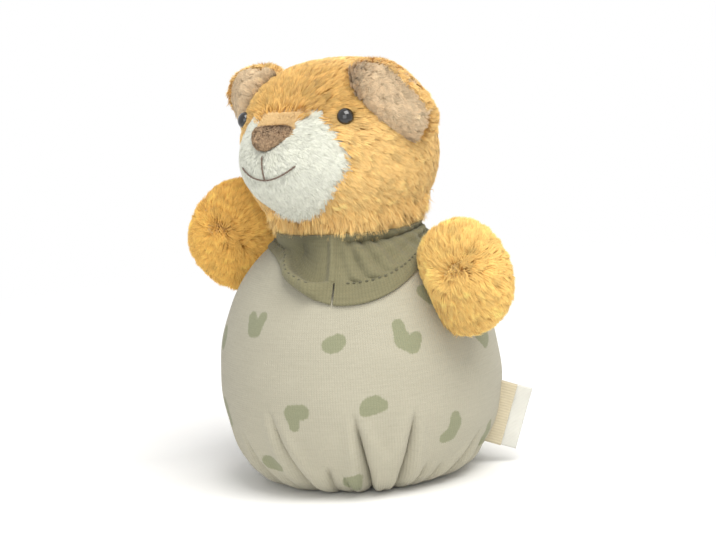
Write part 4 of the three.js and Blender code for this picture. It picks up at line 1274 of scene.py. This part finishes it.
def make_eye(side, name, node):
    base = face_points(side * EYE_OUT, EYE_UP)
    step = 0.5
    across = face_points(side * EYE_OUT + step, EYE_UP) - face_points(side * EYE_OUT - step, EYE_UP)
    along = face_points(side * EYE_OUT, EYE_UP + step) - face_points(side * EYE_OUT, EYE_UP - step)
    way = unit(np.cross(across, along))
    angles = np.radians(np.linspace(0, 89, 18))
    dome = np.column_stack([EYE_RADIUS * np.cos(angles), EYE_DOME * np.sin(angles)])
    under = [
        (POST_RADIUS, -POST_LENGTH),
        (POST_RADIUS, -EYE_UNDERSIDE),
        (EYE_RADIUS - 0.25, -EYE_UNDERSIDE),
        (EYE_RADIUS, -0.6),
    ]
    outline = np.concatenate([under, dome])
    turns = full_turn(EYE_SIDES)
    first = unit(np.cross(way, np.array([0, 0, 1.0])))
    second = np.cross(way, first)
    ring = first * np.cos(turns)[:, None] + second * np.sin(turns)[:, None]
    points = base + ring[None] * outline[:, None, :1] + way * outline[:, None, 1:]
    faces = grid_faces(grid_corners(len(outline), EYE_SIDES, True), EYE_SIDES)
    new_piece(name, place_head(points.reshape(-1, 3)), faces, EYE, "head", [node])


make_eye(1, "eye_left_bead", "eye_left")
make_eye(-1, "eye_right_bead", "eye_right")
print("eyes ready")

# %% [markdown]
# ## Ears
# An ear is two layers sewn round their edge, tan pile in front and yellow behind, set in the seam of the
# head. The front is dished, meets the head further forward than the back does, and its tip curls. The back is
# full, and wraps round the edge as a yellow rim. The lower end is narrower, and it is swept back round the
# side of the head.

# %% The ears
EAR_HALF_WIDTH = 18
EAR_HEIGHT = 19
EAR_FRONT = 2.4
EAR_BACK = 7
EAR_RISE = 25
EAR_ANGLE = 64
EAR_CURL = 3
EAR_SWELL = 7
EAR_FRINGE = 1.4
EAR_RIM = 1.2
EAR_ROOT_FORWARD = 9
EAR_LOWER_WIDTH = 0.76
EAR_SWEEP = 8
EAR_SWEEP_BEND = 0.5
EAR_LIFT = 5


def ear_layer(thickness, front, side):
    """One layer of an ear in its own frame: X across, Y out from the head, Z to the front."""
    rings, columns = 26, 96
    edge = EAR_FRINGE + (EAR_RIM if front else 0)
    last = 1 if front else 1 + EAR_RIM / EAR_HEIGHT
    share, turn = rows_and_columns(np.linspace(0.02, last, rings), full_turn(columns))
    over = np.maximum(share - 1, 0)
    share = share - 2 * over
    x = (EAR_HALF_WIDTH - edge) * share * np.sin(turn)
    x = np.where(side * x > 0, EAR_LOWER_WIDTH * x, x)
    y = (EAR_HEIGHT - edge) * share * np.cos(turn)
    down = side * x / EAR_HALF_WIDTH
    sweep = -EAR_SWEEP * (down + EAR_SWEEP_BEND * down**2)
    lift = EAR_LIFT * np.maximum(down, 0) ** 2
    seam = HEAD_HALF[0] - EAR_RISE
    swell = 0.45 + 0.55 * smooth(y, seam, seam + EAR_SWELL)
    dome = np.sqrt(np.maximum(1 - share**3, 0)) * swell
    curl = EAR_CURL * np.maximum(y / EAR_HEIGHT, 0) ** 2
    if front:
        dish = 0.55 * (1 - share**2) * swell
        root = smooth(y, seam - 8, seam - 3) * (1 - smooth(y, seam - 2, seam + 11))
        root = EAR_ROOT_FORWARD * root * np.maximum(1 - (x / EAR_HALF_WIDTH) ** 2, 0)
        z = (thickness - 0.8) * (dome - dish) + root
    else:
        z = np.where(over > 0, 0.9 * smooth(over, 0, 0.05), -(thickness - 0.8) * dome)
    faces = grid_faces(grid_corners(rings, columns, True), columns)
    points = np.stack([x, y + lift, z + curl + sweep], -1).reshape(-1, 3)
    return points, faces if front else faces[:, ::-1]


def place_ear(points, side):
    """Points of an ear's own frame, measured from the middle of the head."""
    turn = side * math.radians(EAR_ANGLE)
    upright = np.stack([points[:, 0], HEAD_SEAM_BACK - points[:, 2], points[:, 1] + EAR_RISE], -1)
    spin = np.array([[math.cos(turn), 0, math.sin(turn)], [0, 1, 0], [-math.sin(turn), 0, math.cos(turn)]])
    return upright @ spin.T


def make_ear(side, word):
    random = np.random.default_rng(31 + side)
    layers = [
        ("front", EAR_FRONT, TAN_BACKING, "plush_tan", "tan", TAN_TONES, TAN_PILE, 34.0),
        ("back", EAR_BACK, YELLOW_BACKING, "plush_yellow", "rim", YELLOW_TONES, YELLOW_PILE, 24.0),
    ]
    for layer, thickness, backing, slot, pile, tones, finish, density in layers:
        flat, faces = ear_layer(thickness, layer == "front", side)
        points = place_ear(flat, side)
        body = "ear_" + word
        skin = new_piece(f"ear_{word}_{layer}_skin", place_head(points), faces, backing, body,
                         [f"ear_{word}_{layer}"])
        roots, ways = scatter(points, triangles(faces), density, random)
        out = np.linalg.norm(roots, axis=1) > head_radius(unit(roots)) - 0.6
        roots, ways = roots[out], ways[out]
        base = place_ear(np.array([[0, -4.0, 0]]), side)[0]
        behind = ways[:, 1:2] > 0
        flow = unit(roots - base) + np.where(behind, np.array([0, 0.7, -0.2]), np.array([0, 0, -0.5]))
        grow(f"ear_{word}_{layer}_pile", place_head(roots), turn_head(ways), turn_head(flow), pile, tones,
             finish, body, 140 + side + 3 * (layer == "back"))


make_ear(1, "left")
make_ear(-1, "right")

# %% [markdown]
# ## Arms
# Each arm is a mitt sewn flat to the shoulder. It swells to a round paw, and its pile parts along the middle
# of the palm, as it does where a stuffed mitt was turned right side out and brushed. It runs over the edge
# and down the back to the shoulder.

# %% The arms
ARM_LENGTH = 29
ARM_HALF_WIDTH = 18
ARM_HALF_THICKNESS = 11.5
ARM_SEAM_HALF_WIDTH = 10.5
ARM_SEAM_THICKNESS = 4
ARM_SEAM_BEND = 70
ARM_END_SQUARENESS = 2.6
ARM_WIDEST = 0.5
PAW_DEPTH = 2.3


def mitt_girth(seam, full, share):
    """Half width of a mitt at a share of its length."""
    rise = seam + (full - seam) * np.sin(math.pi / 2 * np.clip(share / ARM_WIDEST, 0, 1))
    past = np.clip((share - ARM_WIDEST) / (1 - ARM_WIDEST), 0, 1)
    fall = full * np.maximum(1 - past**ARM_END_SQUARENESS, 0) ** (1 / ARM_END_SQUARENESS)
    return np.where(share < ARM_WIDEST, rise, fall)


def shoulder_frame(degrees, height):
    """Where an arm is sewn on: its middle, the way along its seam, across it and outwards."""
    up = (height - BELLY_HEIGHT) / (BODY_HEIGHT - BELLY_HEIGHT)
    latitude = math.degrees(math.asin(up))
    rows = bag_outline(np.array([latitude - 1, latitude, latitude + 1]))
    run = unit(np.array([rows[1][2] - rows[1][0], rows[0][0] - rows[0][2]]))
    turn = math.radians(degrees)
    outward = np.array([math.sin(turn), -math.cos(turn), 0])
    upward = np.array([0, 0, 1.0])
    along = outward * run[0] + upward * run[1]
    seam = upward * run[0] - outward * run[1]
    middle = outward * rows[0][1] + upward * rows[1][1]
    return middle, np.stack([seam, np.cross(along, seam), along])


def mitt_surface(shrink):
    """A mitt in its own frame: X along the seam, Y through its thickness, Z outwards."""
    rows, columns = 60, 72
    share = 1 - (1 - np.linspace(0.02, 0.998, rows)) ** 1.25
    turn = full_turn(columns)
    wide = mitt_girth(ARM_SEAM_HALF_WIDTH, ARM_HALF_WIDTH, share) * (1 - shrink / ARM_HALF_WIDTH)
    thick = mitt_girth(ARM_SEAM_THICKNESS / 2, ARM_HALF_THICKNESS, share) * (1 - shrink / ARM_HALF_THICKNESS)
    x = wide[:, None] * np.cos(turn)
    y = thick[:, None] * np.sin(turn)
    z = np.repeat((share * (ARM_LENGTH - shrink))[:, None], columns, 1)
    z = z - (1 - share[:, None]) * x**2 / ARM_SEAM_BEND
    corners = grid_corners(rows, columns, True)
    return np.stack([x, y, z], -1).reshape(-1, 3), grid_faces(corners, columns)


def make_arm(word, degrees, height, whorl_at, painted_shade, seed):
    middle, axes = shoulder_frame(degrees, height)
    flat, faces = mitt_surface(PAW_DEPTH)
    front = -1 if axes[1][1] > 0 else 1
    name = "arm_" + word
    skin = new_piece(name + "_skin", flat @ axes + middle, faces, YELLOW_BACKING, name,
                     [name])
    roots, ways = scatter(flat, triangles(faces), 24.0, np.random.default_rng(seed))
    world = roots @ axes + middle
    clear = np.hypot(world[:, 0], world[:, 1]) > shoulder_radius(world[:, 2]) + 0.4
    roots, ways = roots[clear], ways[clear]
    whorl = np.array([whorl_at[0], front * ARM_HALF_THICKNESS * 0.5, whorl_at[1]])
    away = (roots - whorl) * np.array([1, 1, 0.5])
    parted = away / (np.linalg.norm(away, axis=1, keepdims=True) + 4) + np.array([-0.2, 0, 0.2])
    palm = smooth(front * ways[:, 1:2], -0.95, 0.3)
    flow = parted * palm + np.array([-0.2, 0, -1.0]) * (1 - palm)
    grow(name + "_pile", roots @ axes + middle, ways @ axes, flow @ axes, "paw", PAW_TONES, YELLOW_PILE,
         name, seed + 1, 1.0, painted_shade)


# painted shade: the right paw, on the side away from the key lamp, is painted darker and more orange than the
# left
make_arm("left", 77, 62.5, (-1, 21), (1.0, 1.0, 1.0), 161)
make_arm("right", -87, 70.5, (0, 19), (0.98, 0.88, 0.66), 171)

# %% [markdown]
# ## Labels
# Two ribbons are caught in the side seam: a folded woven one and a longer satin one behind it, both left
# blank. Each is a strip with a slight wave. A flat card would look stiff, and a wave this small needs no
# simulation.

# %% The labels
LABEL_WIDTH = 21
LABEL_MIDDLE = 16.5
LABEL_LEAN = 19
LABEL_ROOT = 4.4
LABEL_ROWS = 40
FOLD_AT = 1.25
FOLD_RADIUS = 0.28
SATIN_END = 6.7
SATIN_BEHIND = 0.95


def place_label(points):
    """Points of a label's frame in the toy's frame: X out of the seam, Y round the bag, Z along the seam."""
    lean, turn = math.radians(LABEL_LEAN), math.radians(SEAM_ANGLE - 90)
    tip = np.array([[math.cos(lean), 0, -math.sin(lean)], [0, 1, 0], [math.sin(lean), 0, math.cos(lean)]])
    spin = np.array([[math.cos(turn), math.sin(turn), 0], [-math.sin(turn), math.cos(turn), 0], [0, 0, 1]])
    return (points @ tip + np.array([BELLY_RADIUS, 0, LABEL_MIDDLE])) @ spin


def make_label(name, path, finish, node, thickness):
    """A strip of ribbon whose outline from the side is a path of places out of and round the seam."""
    length = np.concatenate([[0], np.cumsum(np.linalg.norm(np.diff(path, axis=0), axis=1))])
    width = np.linspace(-LABEL_WIDTH / 2, LABEL_WIDTH / 2, LABEL_ROWS)
    along, across = rows_and_columns(length, width)
    out, side = (np.repeat(path[:, [axis]], LABEL_ROWS, 1) for axis in (0, 1))
    free = smooth(out, -LABEL_ROOT, 5)
    side = side + free * 0.35 * np.sin(0.32 * across + 0.8)
    points = place_label(np.stack([out, side, across], -1).reshape(-1, 3)).reshape(*along.shape, 3)
    piece = new_grid(name, points, False, across, along, finish, "labels", [node])
    thick = piece.modifiers.new("ribbon", "SOLIDIFY")
    thick.thickness = thickness * MM
    thick.offset = 0
    print(name, "cut length:", round(float(length[-1]), 1))


bend = np.radians(np.linspace(90, -90, 9))
fold = np.column_stack([FOLD_AT + FOLD_RADIUS * np.cos(bend), FOLD_RADIUS * np.sin(bend)])
out_to_fold = np.linspace(-LABEL_ROOT, 1.2, 12)
folded = np.concatenate([
    np.column_stack([out_to_fold, np.full(12, FOLD_RADIUS)]),
    fold,
    np.column_stack([out_to_fold[::-1], np.full(12, -FOLD_RADIUS)]),
])
single = np.column_stack([np.linspace(-LABEL_ROOT, SATIN_END, 20), np.full(20, SATIN_BEHIND)])
make_label("woven_label_ribbon", folded, WOVEN, "woven_label", 0.22)
make_label("care_label_ribbon", single, SATIN, "care_label", 0.25)

# %% [markdown]
# ## Filling and rattle
# Inside are loose fibre, a two-part capsule and its beads. Nothing of them shows, but the model can be
# opened, so the fibre gets a lumpy surface: each filling solid is remeshed evenly and drawn in by noise.
# The moulded pieces keep their solids and only get a finish.

# %% What lies inside
FIBRE_DEPTH = 1.2
FIBRE_LUMPS = 140


def make_filling(node, body, voxel):
    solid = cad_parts[node]
    copy = bpy.data.objects.new(node + "_fibre", solid.data.copy())
    bpy.context.scene.collection.objects.link(copy)
    even = copy.modifiers.new("even", "REMESH")
    even.mode = "VOXEL"
    even.voxel_size = voxel * MM
    bpy.context.view_layer.update()
    done = copy.evaluated_get(bpy.context.evaluated_depsgraph_get())
    mesh = bpy.data.meshes.new_from_object(done)
    copy.modifiers.clear()
    copy.data = mesh
    ways = [vertex.normal.copy() for vertex in mesh.vertices]
    for vertex, way in zip(mesh.vertices, ways):
        depth = 0.5 + 0.5 * noise.fractal(vertex.co * FIBRE_LUMPS, 0.8, 2.0, 3)
        vertex.co -= way * MM * (FIBRE_DEPTH + FIBRE_DEPTH * min(max(depth, 0), 1))
    mesh.shade_smooth()
    mesh.materials.clear()
    mesh.materials.append(FIBRE.material)
    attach(copy, body)
    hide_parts(node)
    print(node, "faces:", len(mesh.polygons))


make_filling("body_stuffing_lower", "body", 1.8)
make_filling("body_stuffing_upper", "body", 1.8)
make_filling("neck_stuffing", "neck", 1.4)
make_filling("head_stuffing", "head", 1.8)
moulded = {"rattle_capsule_lower": CAPSULE, "rattle_capsule_upper": CAPSULE, "eye_washer_left": WASHER,
           "eye_washer_right": WASHER}
moulded.update({f"rattle_bead_{number}": BEAD for number in range(1, 6)})
for node, finish in moulded.items():
    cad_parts[node].material_slots[0].material = finish.material
print("moulded pieces:", len(moulded))
